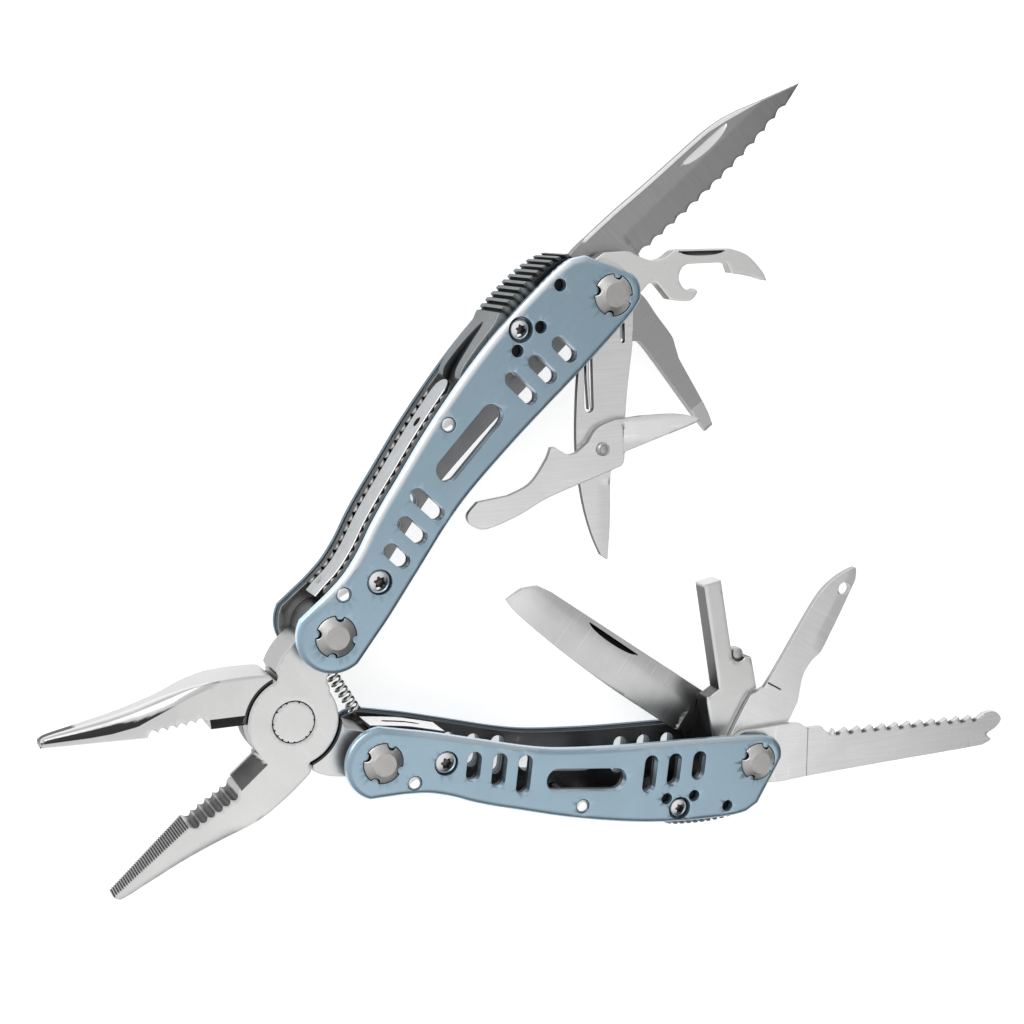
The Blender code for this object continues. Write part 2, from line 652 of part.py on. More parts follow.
def awl(parent):
    top = [(2.0, 6.4), (11.1, 6.4), (12.9, 5.6), (14.4, 4.6), (16.4, 4.0), (29.9, 3.2)]
    tip = smooth([(37.9, 2.5), (42.9, 0.7), (46.7, -2.1), (46.9, -3.2), (44.9, -4.3)])
    under = smooth([(27.9, -4.8), (24.9, -3.7), (21.0, -3.4), (16.9, -4.8), (15.4, -5.3)])
    outline = base(-75, -260, 10) + top + tip + under + [(8.0, -5.6)]
    return tool("awl", [outline, circle((41.9, -2.6), 1.35, 10)], parent)


def bit_arm(parent):
    notch = arc((22.5, -2.1), 1.65, 100, 230, 5)
    outline = base(-100, -270, 10) + [(3.0, 6.8), (14.1, 7.1), (16.1, 3.8), (39.8, 3.8),
                                      (39.8, -0.3)] + notch + [(21.0, -5.0), (6.0, -5.6)]
    arm = tool("bit_arm", [outline], parent)
    turned("bit_arm_pin", rod(1.35, 0.3, LAYER["bit_arm"][1] - 0.4), "bolt", arm, (22.5, -2.1), 12)
    return arm


def plain_blade(parent):
    spine = [(60.0, -6.6), (57.8, -6.9), (13.0, -7.0), (6.0, -6.6)]
    point = smooth([(62.9, -4.3), (64.8, -0.7)])
    edge = smooth([(60.8, 0.5), (49.8, 1.9), (39.8, 2.7), (29.8, 3.2), (13.5, 3.4)])
    outline = base(250, 60, 10) + [(8.0, 4.6), (12.0, 2.6)] + edge[::-1] + point[::-1] + spine
    return tool("plain_blade", [outline], parent)


# ---------------------------------------------------------------- assembly

def assemble():
    head = axis("pliers_head", PLIERS_PIVOT, 0)
    jaw("jaw_front", FRONT_JAW_ANGLE, 1, UPPER["pivot"], head)
    jaw("jaw_rear", REAR_JAW_ANGLE, -1, LOWER["pivot"], head)
    turned("pliers_rivet", rod(RIVET_RADIUS, -JAW_HALF, JAW_HALF), "satin", head, (0, 0), 24)
    coil_spring("return_spring", (8.5, 8.4), (13.9, -0.6), 1.15, 0.3, 8, head)
    upper = handle(UPPER, head)
    lower = handle(LOWER, head)
    serrated_blade(upper)
    can_opener(upper)
    screwdriver(upper)
    scissors(upper)
    saw_blade(lower)
    awl(lower)
    bit_arm(lower)
    plain_blade(lower)
    washer("upper_far_washer_1", TOOL_WASHER_RADIUS, -1.0, -0.1, (0, 0), upper)
    washer("upper_far_washer_2", TOOL_WASHER_RADIUS, -5.9, -5.0, (0, 0), upper)
    washer("lower_far_washer_1", TOOL_WASHER_RADIUS, -4.2, -1.6, (0, 0), lower)


assemble()
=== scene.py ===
"""Looks of the plier multi-tool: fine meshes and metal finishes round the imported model.

Outlines are in millimetres in each piece's own frame. A handle's x runs from its tang pivot to
its tool pivot and its y points to the spine. A tool's x runs out from the tool pivot, and a jaw's
x runs along the jaw with y to its back. The places of all the frames come from the joints.
"""

import json
import math

import bmesh
import bpy
import numpy as np
from mathutils import Matrix, Vector, geometry

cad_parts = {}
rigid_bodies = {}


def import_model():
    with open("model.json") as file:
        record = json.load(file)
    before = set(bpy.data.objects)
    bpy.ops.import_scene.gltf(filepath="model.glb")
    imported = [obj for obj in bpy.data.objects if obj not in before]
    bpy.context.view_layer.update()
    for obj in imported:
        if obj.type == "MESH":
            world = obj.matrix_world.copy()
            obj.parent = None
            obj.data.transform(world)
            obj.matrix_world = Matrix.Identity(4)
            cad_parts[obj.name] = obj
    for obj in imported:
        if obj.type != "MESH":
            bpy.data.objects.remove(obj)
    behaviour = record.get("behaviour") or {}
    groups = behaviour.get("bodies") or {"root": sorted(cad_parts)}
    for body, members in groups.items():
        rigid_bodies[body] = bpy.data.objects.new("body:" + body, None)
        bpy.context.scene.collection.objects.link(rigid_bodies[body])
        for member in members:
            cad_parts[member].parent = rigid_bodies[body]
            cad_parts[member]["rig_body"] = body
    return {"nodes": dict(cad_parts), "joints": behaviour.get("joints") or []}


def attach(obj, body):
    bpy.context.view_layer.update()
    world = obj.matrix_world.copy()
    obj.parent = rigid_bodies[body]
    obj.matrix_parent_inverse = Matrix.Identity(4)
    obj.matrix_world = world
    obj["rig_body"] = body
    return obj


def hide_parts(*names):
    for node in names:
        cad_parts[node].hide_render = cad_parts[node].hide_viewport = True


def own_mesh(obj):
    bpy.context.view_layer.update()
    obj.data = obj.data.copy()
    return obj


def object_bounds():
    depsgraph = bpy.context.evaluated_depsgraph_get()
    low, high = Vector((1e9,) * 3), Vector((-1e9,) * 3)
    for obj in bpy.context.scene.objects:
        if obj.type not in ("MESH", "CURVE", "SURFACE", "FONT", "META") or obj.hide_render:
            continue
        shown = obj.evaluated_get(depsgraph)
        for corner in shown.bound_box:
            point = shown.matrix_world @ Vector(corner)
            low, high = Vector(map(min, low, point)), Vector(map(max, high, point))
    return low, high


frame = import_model()
CAD_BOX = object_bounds()

MM = 0.001
SLIVER = 0.002  # Edges shorter than this are merged away.
DARK = (0.015, 0.015, 0.016, 1)
PALE = (0.97, 0.97, 0.97, 1)
JOINTS = {joint["name"]: joint for joint in frame["joints"]}

# Stack through the thickness.
HALF_THICKNESS = 8.95
SCALE_INNER = 7.15
LINER_OUTER = 7.0
LINER_INNER = 6.1
JAW_HALF = 4.5
LAP_GAP = 0.15
BOLT_TOP = 10.1

# Pliers head.
DISC_RADIUS = 8.95
DISC_CLEARANCE = 9.25
RIVET_RADIUS = 4.1
JAW_REACH = 46.8
JAW_ANGLE = {"front": 220.5, "rear": 180.3}

# Handles.
TOOL_PIVOT = (85.0, 0.25)
SPINE = [(5, 6.5), (10, 6.3), (15, 7.0), (20, 8.3), (25, 9.3), (30, 10.1), (40, 11.7),
         (50, 12.8), (60, 13.4), (70, 13.25), (80, 12.4), (84, 11.5)]
CHANNEL = [(5, -6.5), (10, -6.0), (20, -4.6), (30, -3.2), (38, -2.7), (50, -3.1),
           (60, -3.8), (70, -4.6), (80, -5.2), (86, -5.3)]
BOLT_RADIUS, NOTCH = 4.0, 0.95
KEY_ANGLE = {"upper": 30.0, "lower": -20.0}  # Where the first notch of a bolt head is.
BLIND_HOLES = [(70.3, 7.6), (63.8, 8.2), (78.8, 10.0)]
HANDLE_END = [(88.5, -4.9), (90.2, -3.2), (90.9, -1.0), (90.3, 1.0), (86.6, 9.6)]
UPRIGHT_SLOTS = [(19.1, 0.8, 6.1), (24.7, 1.65, 7.1), (30.3, 2.65, 8.3),
                 (59.1, 2.8, 8.1), (64.7, 1.9, 7.1), (70.5, 1.0, 6.2)]
SCREW_MAIN, SCREW_FAR = (13.2, 0.1), (67.2, 10.4)
PIN_MAIN, PIN_MID = (7.0, 4.1), (44.3, 9.5)

# Studio, in metres. The camera's places are measured from the pliers' pivot.
CAMERA_PLACE, CAMERA_AIM = (-0.0891, 0.0971, 0.3236), (0.0540, 0.0158, 0.00895)
LENS, LENS_SHIFT = 62.65, (-0.0473, 0.1054)
LIT_SIDE = (-0.62, 0.55, 0.35)

# Fold-out tools: the layer of the stack that each fills, and the way it points.
LAYER = {
    "scissors_lever": (4.6, 5.9), "scissors_arm": (3.1, 4.4), "can_opener": (0.1, 2.9),
    "serrated_blade": (-2.8, -1.2), "screwdriver": (-4.8, -3.0),
    "saw_blade": (4.6, 5.9), "awl": (3.1, 4.4), "bit_arm": (-1.4, 2.9),
    "plain_blade": (-5.9, -4.4),
}
TOOL_ANGLE = {
    "serrated_blade": 47.0, "can_opener": 0.0, "screwdriver": -55.0, "scissors_arm": -88.0,
    "saw_blade": 0.0, "awl": 60.0, "bit_arm": 100.0, "plain_blade": 145.0,
}


# ---------------- outlines

def arc(centre, radius, start, end, steps=24):
    """Points on an arc, both ends included, angles in degrees."""
    angles = [math.radians(start + (end - start) * i / steps) for i in range(steps + 1)]
    return [(centre[0] + radius * math.cos(a), centre[1] + radius * math.sin(a)) for a in angles]


def circle(centre, radius, steps=48):
    return arc(centre, radius, 0, 360, steps)[:-1]


def ring(centre, radius, steps=48):
    """A circle as a crease, so that its first point comes again at its end."""
    return circle(centre, radius, steps) + [(centre[0] + radius, centre[1])]


def slot(centre, length, width, upright):
    half, radius = (length - width) / 2, width / 2
    if upright:
        return (arc((centre[0], centre[1] + half), radius, 0, 180, 12)
                + arc((centre[0], centre[1] - half), radius, 180, 360, 12))
    return (arc((centre[0] + half, centre[1]), radius, -90, 90, 16)
            + arc((centre[0] - half, centre[1]), radius, 90, 270, 16))


def smooth(points, steps=8):
    """A Catmull-Rom curve through the points, ends included."""
    ends = [points[0]] + list(points) + [points[-1]]
    found = []
    for a, b, c, d in zip(ends, ends[1:], ends[2:], ends[3:]):
        for i in range(steps):
            t = i / steps
            found.append(tuple(
                0.5 * (2 * q + (r - p) * t + (2 * p - 5 * q + 4 * r - s) * t * t
                       + (3 * q - p - 3 * r + s) * t ** 3)
                for p, q, r, s in zip(a, b, c, d)))
    return found + [tuple(points[-1])]


def along(path, count):
    """count + 1 points at even distances along a polyline."""
    path = np.array(path, float)
    reach = np.concatenate([[0], np.cumsum(np.linalg.norm(np.diff(path, axis=0), axis=1))])
    at = np.linspace(0, reach[-1], count + 1)
    return [tuple(p) for p in np.stack([np.interp(at, reach, path[:, k]) for k in (0, 1)], 1)]


def line(start, end, pitch=0.6):
    """A straight crease cut into short steps."""
    return along([start, end], max(2, int(math.dist(start, end) / pitch)))


def left_of(a, b):
    length = math.dist(a, b)
    return (-(b[1] - a[1]) / length, (b[0] - a[0]) / length)


def scalloped(path, count, depth, steps=8):
    """Shallow hollows along a path, each cut to the left of its direction."""
    cusps = along(path, count)
    found = []
    for a, b in zip(cusps, cusps[1:]):
        left = left_of(a, b)
        for i in range(steps):
            t = i / steps
            sink = depth * math.sin(math.pi * t)
            found.append((a[0] + (b[0] - a[0]) * t + left[0] * sink,
                          a[1] + (b[1] - a[1]) * t + left[1] * sink))
    return found + [cusps[-1]]


def toothed(path, count, depth, rake):
    """Saw teeth cut to the left of the path."""
    tips = along(path, count)
    found = []
    for a, b in zip(tips, tips[1:]):
        left = left_of(a, b)
        found += [a, (a[0] + (b[0] - a[0]) * rake + left[0] * depth,
                      a[1] + (b[1] - a[1]) * rake + left[1] * depth)]
    return found + [tips[-1]]


def height_of(points):
    """The height of a line of points, as a function of arrays of x."""
    xs, ys = np.array(points, float).T
    return lambda x: np.interp(x, xs, ys)


spine_at = height_of(smooth([(-6, 6.6)] + SPINE, 12))
channel_at = height_of(smooth([(-6, -6.6)] + CHANNEL, 12))


# ---------------- meshes

def new_object(name, data):
    made = bpy.data.objects.new(name, data)
    bpy.context.scene.collection.objects.link(made)
    return made


def as_mesh(shape, name):
    mesh = bpy.data.meshes.new(name)
    shape.to_mesh(mesh)
    shape.free()
    return mesh


def mark(mesh, name, values):
    """A number for each point of a mesh, which its material reads by this name."""
    values = np.asarray(values, np.float32)
    mesh.attributes.new(name, "FLOAT", "POINT").data.foreach_set("value", values)


def area(loop):
    p = np.array(loop)
    q = np.roll(p, -1, 0)
    return ((p[:, 0] * q[:, 1] - p[:, 1] * q[:, 0]).sum()) / 2


def dense(loop, pitch=0.9):
    """The closed loop with no step longer than the pitch."""
    found = []
    for a, b in zip(loop, list(loop[1:]) + [loop[0]]):
        steps = max(1, math.ceil(math.dist(a, b) / pitch))
        found += [(a[0] + (b[0] - a[0]) * i / steps, a[1] + (b[1] - a[1]) * i / steps)
                  for i in range(steps)]
    return found


def distance(points, loops):
    """Distance of each point to the nearest of these closed loops."""
    best = np.full(len(points), 1e9)
    for loop in loops:
        p = np.array(loop, float)
        for a, b in zip(p, np.roll(p, -1, 0)):
            run = b - a
            size = run @ run
            if size < 1e-12:
                continue
            t = np.clip((points - a) @ run / size, 0, 1)
            gap = points - a - t[:, None] * run
            best = np.minimum(best, np.einsum("ij,ij->i", gap, gap))
    return np.sqrt(best)


def inside(points, loops):
    """Even-odd test: in the outline and not in a hole."""
    x, y = points.T
    hit = np.zeros(len(points), bool)
    for loop in loops:
        p = np.array(loop, float)
        for (x0, y0), (x1, y1) in zip(p, np.roll(p, -1, 0)):
            if y0 != y1:
                hit ^= ((y0 <= y) != (y1 <= y)) & (x < x0 + (y - y0) * (x1 - x0) / (y1 - y0))
    return hit


def inset(loop, gap):
    """The loop moved to its left by the gap."""
    p = np.array(loop, float)
    ahead = np.roll(p, -1, 0) - p
    ahead /= np.maximum(np.linalg.norm(ahead, axis=1), 1e-9)[:, None]
    behind = np.roll(ahead, 1, 0)
    left = np.stack([-ahead[:, 1], ahead[:, 0]], 1) + np.stack([-behind[:, 1], behind[:, 0]], 1)
    left /= np.maximum(np.linalg.norm(left, axis=1), 1e-9)[:, None]
    spread = np.maximum(0.5, left[:, 0] * -ahead[:, 1] + left[:, 1] * ahead[:, 0])
    return p + left * (gap / spread)[:, None]


def rounding(width):
    """Distances from an edge at which a rounded edge of this width gets a row of points."""
    steps = 2 if width < 0.2 else 3 if width < 0.5 else 6
    return [width * (1 - math.cos(math.pi / 2 * i / steps)) for i in range(1, steps + 1)]


def rounded_drop(gap, edge):
    width, depth = edge
    if width <= 0:
        return np.zeros(len(gap))
    t = np.clip(1 - gap / width, 0, 1)
    return depth * (1 - np.sqrt(1 - t * t))


def relief(outline, holes=(), layer=(0, 1), top_edge=(0.12, 0.12), back_edge=(0.12, 0.12),
           hole_edge=(0.12, 0.12), grid=None, creases=(), top=None, back=None, shade=None, side=1):
    """A plate from its outline, with rounded edges and any depth cut into its two faces.

    top, back and shade are functions of arrays x, y and the distance to the rim. The first two
    give the depth cut away, in mm. shade paints shade into the finish above 0 and a painted
    highlight below 0.
    """
    outline = dense(outline if area(outline) > 0 else outline[::-1])
    holes = [dense(h if area(h) < 0 else h[::-1]) for h in holes]
    loops = [outline] + holes
    points, edges = [], []

    def add(path, margin):
        """Adds the stretches of an open path that are inside and clear of the loops."""
        kept = inside(path, loops) & (distance(path, loops) > margin)
        for i, spot in enumerate(path):
            if kept[i]:
                if i and kept[i - 1]:
                    edges.append((len(points) - 1, len(points)))
                points.append(tuple(spot))

    for loop in loops:
        start, count = len(points), len(loop)
        points += loop
        edges += [(start + i, start + (i + 1) % count) for i in range(count)]
    for width in {top_edge[0], back_edge[0]}:
        for gap in rounding(width):
            add(inset(outline, gap), 0.9 * gap)
    for hole in holes:
        for gap in rounding(hole_edge[0]):
            add(inset(hole, gap), 0.9 * gap)
    for crease in creases:
        add(np.array(crease, float), 0.05)
    if grid:
        lo, hi = np.min(outline, 0), np.max(outline, 0)
        xs = np.arange(lo[0], hi[0], grid)
        ys = np.arange(lo[1], hi[1], grid * 0.87)
        spots = np.array([(x + (grid / 2 if k % 2 else 0), y) for k, y in enumerate(ys) for x in xs])
        spots = spots[inside(spots, loops)]
        spots = spots[distance(spots, loops) > max(grid * 0.5, top_edge[0], back_edge[0])]
        if len(creases) and len(spots):
            near = np.full(len(spots), 1e9)
            for crease in creases:
                for spot in np.array(crease, float):
                    near = np.minimum(near, np.linalg.norm(spots - spot, axis=1))
            spots = spots[near > grid * 0.4]
        points.extend(map(tuple, spots))

    flat = geometry.delaunay_2d_cdt([Vector(p) for p in points], edges, [], 0, 1e-4)
    place = np.array([tuple(p) for p in flat[0]], float)
    faces = np.array([f for f in flat[2] if len(f) == 3], int)
    faces = faces[inside(place[faces].mean(1), loops)]
    turn = np.cross(place[faces[:, 1]] - place[faces[:, 0]], place[faces[:, 2]] - place[faces[:, 0]])
    faces = faces[np.abs(turn) > 1e-9]
    turn = turn[np.abs(turn) > 1e-9]
    faces[turn < 0] = faces[turn < 0][:, ::-1]
    used, index = np.unique(faces, return_inverse=True)
    place, faces = place[used], index.reshape(-1, 3)
    x, y = place.T
    rim = distance(place, [outline])
    bore = distance(place, holes) if holes else np.full(len(place), 1e9)
    hole_drop = rounded_drop(bore, hole_edge)
    high = layer[1] - np.maximum(rounded_drop(rim, top_edge), hole_drop)
    low = layer[0] + np.maximum(rounded_drop(rim, back_edge), hole_drop)
    near = np.minimum(rim, bore)
    if top:
        high = high - top(x, y, near)
    if back:
        low = low + back(x, y, near)
    high = np.maximum(high, low + 0.03)
    count = len(place)
    sides = np.concatenate([faces[:, [0, 1]], faces[:, [1, 2]], faces[:, [2, 0]]])
    _, first, seen = np.unique(np.sort(sides, 1), axis=0, return_index=True, return_counts=True)
    walls = [(a + count, b + count, b, a) for a, b in sides[first[seen == 1]]]
    verts = np.concatenate([np.column_stack([x, y, high]), np.column_stack([x, y, low])])
    verts[:, 1] *= side
    tris = [tuple(f) for f in faces] + [tuple(f + count) for f in faces[:, ::-1]]
    mesh = bpy.data.meshes.new("plate")
    mesh.from_pydata((verts * MM).tolist(), [], [tuple(map(int, f)) for f in tris + walls])
    if side < 0:
        mesh.flip_normals()
    # The rim mark lightens the edges in the finish, partly as wear and partly as a painted
    # highlight.
    mark(mesh, "rim", np.tile(np.clip(1 - near / 0.1, 0, 1), 2))
    # The shade mark carries painted light: painted shade above 0, a painted highlight below 0.
    if shade:
        mark(mesh, "shade", np.tile(shade(x, y, near), 2))
    return mesh


def spun(profile, steps=48):
    """A turned mesh from its (radius, z) profile, listed from the top down."""
    shape = bmesh.new()
    rings = []
    for radius, z in profile:
        if radius < 1e-6:
            rings.append([shape.verts.new((0, 0, z * MM))])
            continue
        rings.append([shape.verts.new((radius * MM * math.cos(a), radius * MM * math.sin(a), z * MM))
                      for a in (2 * math.pi * i / steps for i in range(steps))])
    for upper, lower in zip(rings, rings[1:]):
        for i in range(steps):
            j = (i + 1) % steps
            if len(upper) == 1:
                shape.faces.new((upper[0], lower[i], lower[j]))
            elif len(lower) == 1:
                shape.faces.new((upper[i], lower[0], upper[j]))
            else:
                shape.faces.new((upper[i], lower[i], lower[j], upper[j]))
    return as_mesh(shape, "turned")


def bent(mesh, height, depth, side):
    """Stands a sheet drawn in (u, z) on edge and lays it along a height curve."""
    co = np.empty(len(mesh.vertices) * 3)
    mesh.vertices.foreach_get("co", co)
    u, z, t = co.reshape(-1, 3).T / MM
    laid = np.column_stack([u, side * (height(u) + depth + t), z]) * MM
    mesh.vertices.foreach_set("co", laid.ravel())
    return mesh


def joined(meshes):
    """Several meshes of one piece as one."""
    if len(meshes) == 1:
        return meshes[0]
    shape = bmesh.new()
    for mesh in meshes:
        shape.from_mesh(mesh)
    return as_mesh(shape, "joined")


def placed(place, angle=0.0):
    """The matrix of a frame at a place in the plan view, in mm and degrees."""
    return (Matrix.Translation((place[0] * MM, place[1] * MM, 0))
            @ Matrix.Rotation(math.radians(angle), 4, "Z"))


def piece(node, meshes, matrix, finish, crease=30):
    """A fine piece that stands for one CAD node and rides on the same body.

    Edges sharper than the crease angle stay sharp.
    """
    mesh = joined(meshes)
    shape = bmesh.new()
    shape.from_mesh(mesh)
    bmesh.ops.dissolve_degenerate(shape, dist=SLIVER * MM, edges=shape.edges)
    bmesh.ops.recalc_face_normals(shape, faces=shape.faces)
    shape.to_mesh(mesh)
    shape.free()
    mesh.shade_smooth()
    mesh.set_sharp_from_angle(angle=math.radians(crease))
    co = np.empty(len(mesh.vertices) * 3, np.float32)
    mesh.vertices.foreach_get("co", co)
    mesh.attributes.new("own_frame", "FLOAT_VECTOR", "POINT").data.foreach_set("vector", co)
    mesh.transform(matrix)
    made = new_object(f"look_{node}", mesh)
    made.modifiers.new("even_faces", "WEIGHTED_NORMAL").keep_sharp = True
    mesh.materials.append(finish)
    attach(made, frame["nodes"][node]["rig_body"])
    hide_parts(node)
    return made


# ---------------- finishes

def add_node(tree, kind, inputs=(), **settings):
    """A shader node. Each input is a value or the output of another node."""
    made = tree.nodes.new(kind)
    for key, value in settings.items():
        setattr(made, key, value)
    for key, value in dict(inputs).items():
        if isinstance(value, bpy.types.NodeSocket):
            tree.links.new(value, made.inputs[key])
        else:
            made.inputs[key].default_value = value
    return made


def mixed(tree, factor, a, b):
    """A mix of two colours. Sockets 6, 7 and 2 are those of the colour mode."""
    blend = add_node(tree, "ShaderNodeMix", data_type="RGBA", inputs={0: factor, 6: a, 7: b})
    return blend.outputs[2]


def metal(name, colour, roughness, grain, tone, bump, metallic=1.0, speck=0.0, rim=0.25,
          mottle=0.08, wear=0.1):
    """A metal with brush lines along the axis whose grain scale is lowest, smudges, rims lightened
    partly as wear and partly as a painted highlight, and painted shade and highlights from the shade
    mark.
    """
    made = bpy.data.materials.new(name)
    made.use_nodes = True
    tree = made.node_tree
    shader = tree.nodes["Principled BSDF"]
    shader.inputs["Metallic"].default_value = metallic

    def attribute(key, output="Fac"):
        return add_node(tree, "ShaderNodeAttribute", attribute_name=key).outputs[output]

    def noise(scale, detail, rough=0.6):
        where = add_node(tree, "ShaderNodeMapping", {"Vector": spot, "Scale": scale})
        cloud = {"Vector": where.outputs["Vector"], "Scale": 1.0, "Detail": detail,
                 "Roughness": rough, "Distortion": 0.7}
        return add_node(tree, "ShaderNodeTexNoise", cloud).outputs["Fac"]

    def spread(value, low, high, start=0.3, end=0.7):
        limits = {"Value": value, "From Min": start, "From Max": end, "To Min": low, "To Max": high}
        return add_node(tree, "ShaderNodeMapRange", limits).outputs["Result"]

    def maths(operation, a, b):
        return add_node(tree, "ShaderNodeMath", {0: a, 1: b}, operation=operation).outputs[0]

    def toned(factor, lift=0.0):
        return (*(min(1.0, part * factor + lift) for part in colour), 1)

    spot = attribute("own_frame", "Vector")
    lines = noise(grain, 3.0)
    fine = noise(tuple(3 * part for part in grain), 2.0)
    smudge = noise((70, 70, 70), 3.0)
    scratch = noise((1500, 90, 700), 1.0, 0.3)
    shade = attribute("shade")

    body = mixed(tree, spread(lines, 0, 1), toned(1 - tone), toned(1 + tone))
    body = mixed(tree, spread(smudge, 0, mottle * 3, 0.45, 0.75), body, toned(0.8))
    if speck:
        specks = spread(noise((900, 900, 900), 2.0), 0, speck, 0.55, 0.8)
        body = mixed(tree, specks, body, DARK)
    # Rims lighten, partly as wear and partly as a painted highlight.
    body = mixed(tree, maths("MULTIPLY", attribute("rim"), rim), body, toned(1.35, 0.12))
    # The shade mark paints shade towards dark above 0 and a painted highlight towards pale below 0.
    body = mixed(tree, maths("MAXIMUM", shade, 0.0), body, DARK)
    body = mixed(tree, maths("MAXIMUM", maths("MULTIPLY", shade, -1.0), 0.0), body, PALE)

    rough = maths("ADD", spread(lines, -0.6 * tone, 0.6 * tone), roughness)
    rough = maths("ADD", rough, spread(smudge, -mottle / 2, mottle))
    rough = maths("SUBTRACT", rough, spread(scratch, 0, wear, 0.66, 0.72))

    height = maths("ADD", maths("MULTIPLY", lines, 0.7), maths("MULTIPLY", fine, 0.3))
    height = maths("SUBTRACT", height, spread(scratch, 0, 4 * wear, 0.66, 0.72))
    raised = add_node(tree, "ShaderNodeBump",
                      {"Strength": bump, "Distance": 0.00004, "Height": height})
    for key, value in (("Base Color", body), ("Roughness", rough),
                       ("Normal", raised.outputs["Normal"])):
        tree.links.new(value, shader.inputs[key])
    return made


ALONG, ACROSS, EVEN = (90, 2600, 400), (2600, 90, 400), (1500, 1500, 1500)
FINISH = {
    "scale": metal("anodised_scale", (0.365, 0.495, 0.585), 0.33, (260, 1500, 900), 0.03, 0.04,
                   metallic=0.92, rim=0.8, mottle=0.03, wear=0.0),
    # The liners' colour is dark partly as the steel's own tone and partly as painted shade for the
    # inside of the handles.
    "liner": metal("brushed_liner", (0.26, 0.262, 0.265), 0.36, ALONG, 0.16, 0.3),
    "lever": metal("grey_lever", (0.185, 0.20, 0.205), 0.40, ALONG, 0.10, 0.2, rim=0.6),
    "bar": metal("satin_bar", (0.42, 0.43, 0.437), 0.34, ALONG, 0.10, 0.2, rim=0.8),
    "steel": metal("satin_steel", (0.75, 0.75, 0.74), 0.33, EVEN, 0.02, 0.03, mottle=0.03,
                   wear=0.04),
    "bright": metal("bright_steel", (0.985, 0.98, 0.96), 0.28, EVEN, 0.01, 0.0, mottle=0.02,
                    wear=0.0),
    "ground": metal("ground_steel", (0.88, 0.88, 0.875), 0.32, ACROSS, 0.05, 0.10, mottle=0.05,
                    wear=0.06),
    "blade": metal("ground_blade", (0.60, 0.60, 0.595), 0.31, ACROSS, 0.05, 0.10, mottle=0.05,
                   wear=0.06),
    "brushed": metal("brushed_steel", (0.94, 0.94, 0.935), 0.32, ALONG, 0.05, 0.10, mottle=0.05,
                     wear=0.06),
    "dark": metal("dark_ground_steel", (0.475, 0.475, 0.47), 0.34, ACROSS, 0.05, 0.12, wear=0.08),
    "bolt": metal("matt_bolt", (0.56, 0.55, 0.53), 0.42, EVEN, 0.05, 0.12, speck=0.1),
    "polished": metal("polished_steel", (0.93, 0.93, 0.925), 0.09, EVEN, 0.03, 0.03),
}


# ---------------- shared details

def chord_nick(start, end, belly, depth, light_and_tone):
    """A thumbnail nick: upright along its chord, and sloping up to its bowed side.

    It gives the depth cut, the crease lines, and the painted light of the hollow: painted shade
    above 0 and a painted highlight below 0.
    """
    start, end = np.array(start), np.array(end)
    run = end - start
    length = np.linalg.norm(run)
    run /= length
    across = np.array([-run[1], run[0]])
    rise = float((np.array(belly) - start) @ across)
    across, rise = across * np.sign(rise), abs(rise)
    slack = 0.03

    def bow(t):
        return rise * np.sqrt(np.maximum(0, 1 - (2 * t - 1) ** 2))

    def held(x, y):
        rel = np.stack([x, y], 1) - start
        t, n = rel @ run / length, rel @ across
        reach = bow(np.clip(t, 0, 1))
        return (t > 0) & (t < 1) & (n >= -slack) & (n < reach - slack), n, reach

    def cut(x, y, near):
        hit, n, reach = held(x, y)
        return np.where(hit, depth * (1 - np.clip(n, 0, 9) / np.maximum(reach, 1e-6)), 0)

    def colour(x, y, near):
        # Painted light over the hollow of the nick.
        return np.where(held(x, y)[0], light_and_tone, 0)

    steps = np.linspace(0.01, 0.99, 30)
    rows = [[tuple(start + run * length * t + across * max(bow(t) * k - gap, -2 * slack))
             for t in steps] for k, gap in ((1, 0), (1, 2 * slack), (0, 0), (0, 2 * slack))]
    return cut, rows, colour


def grind(top_line, edge_line, thickness, left=0.15):
    """A taper from one line of a blade to its edge, as a depth cut from each face."""
    (a, b), edge_at = top_line, height_of(edge_line)

    def cut(x, y, near):
        start = a[1] + (b[1] - a[1]) * (x - a[0]) / (b[0] - a[0])
        end = edge_at(x)
        t = np.clip((start - y) / np.where(np.abs(start - end) < 0.3, 0.3, start - end), 0, 1)
        return np.where(x > a[0] - 0.01, t, 0) * (thickness / 2 - left)

    return cut


def summed(*cuts):
    return lambda x, y, near: sum(cut(x, y, near) for cut in cuts)


def walls(dark, light_and_tone=None):
    """Painted shade that darkens a plate's sides, with painted light and tone of its own for the
    faces.
    """
    return lambda x, y, near: np.where(near < 0.02, dark, light_and_tone(x, y, near) if light_and_tone else 0)


# ---------------- pliers head

HEAD = tuple(value / MM for value in JOINTS["pliers_pivot"]["pos_m"][:2])


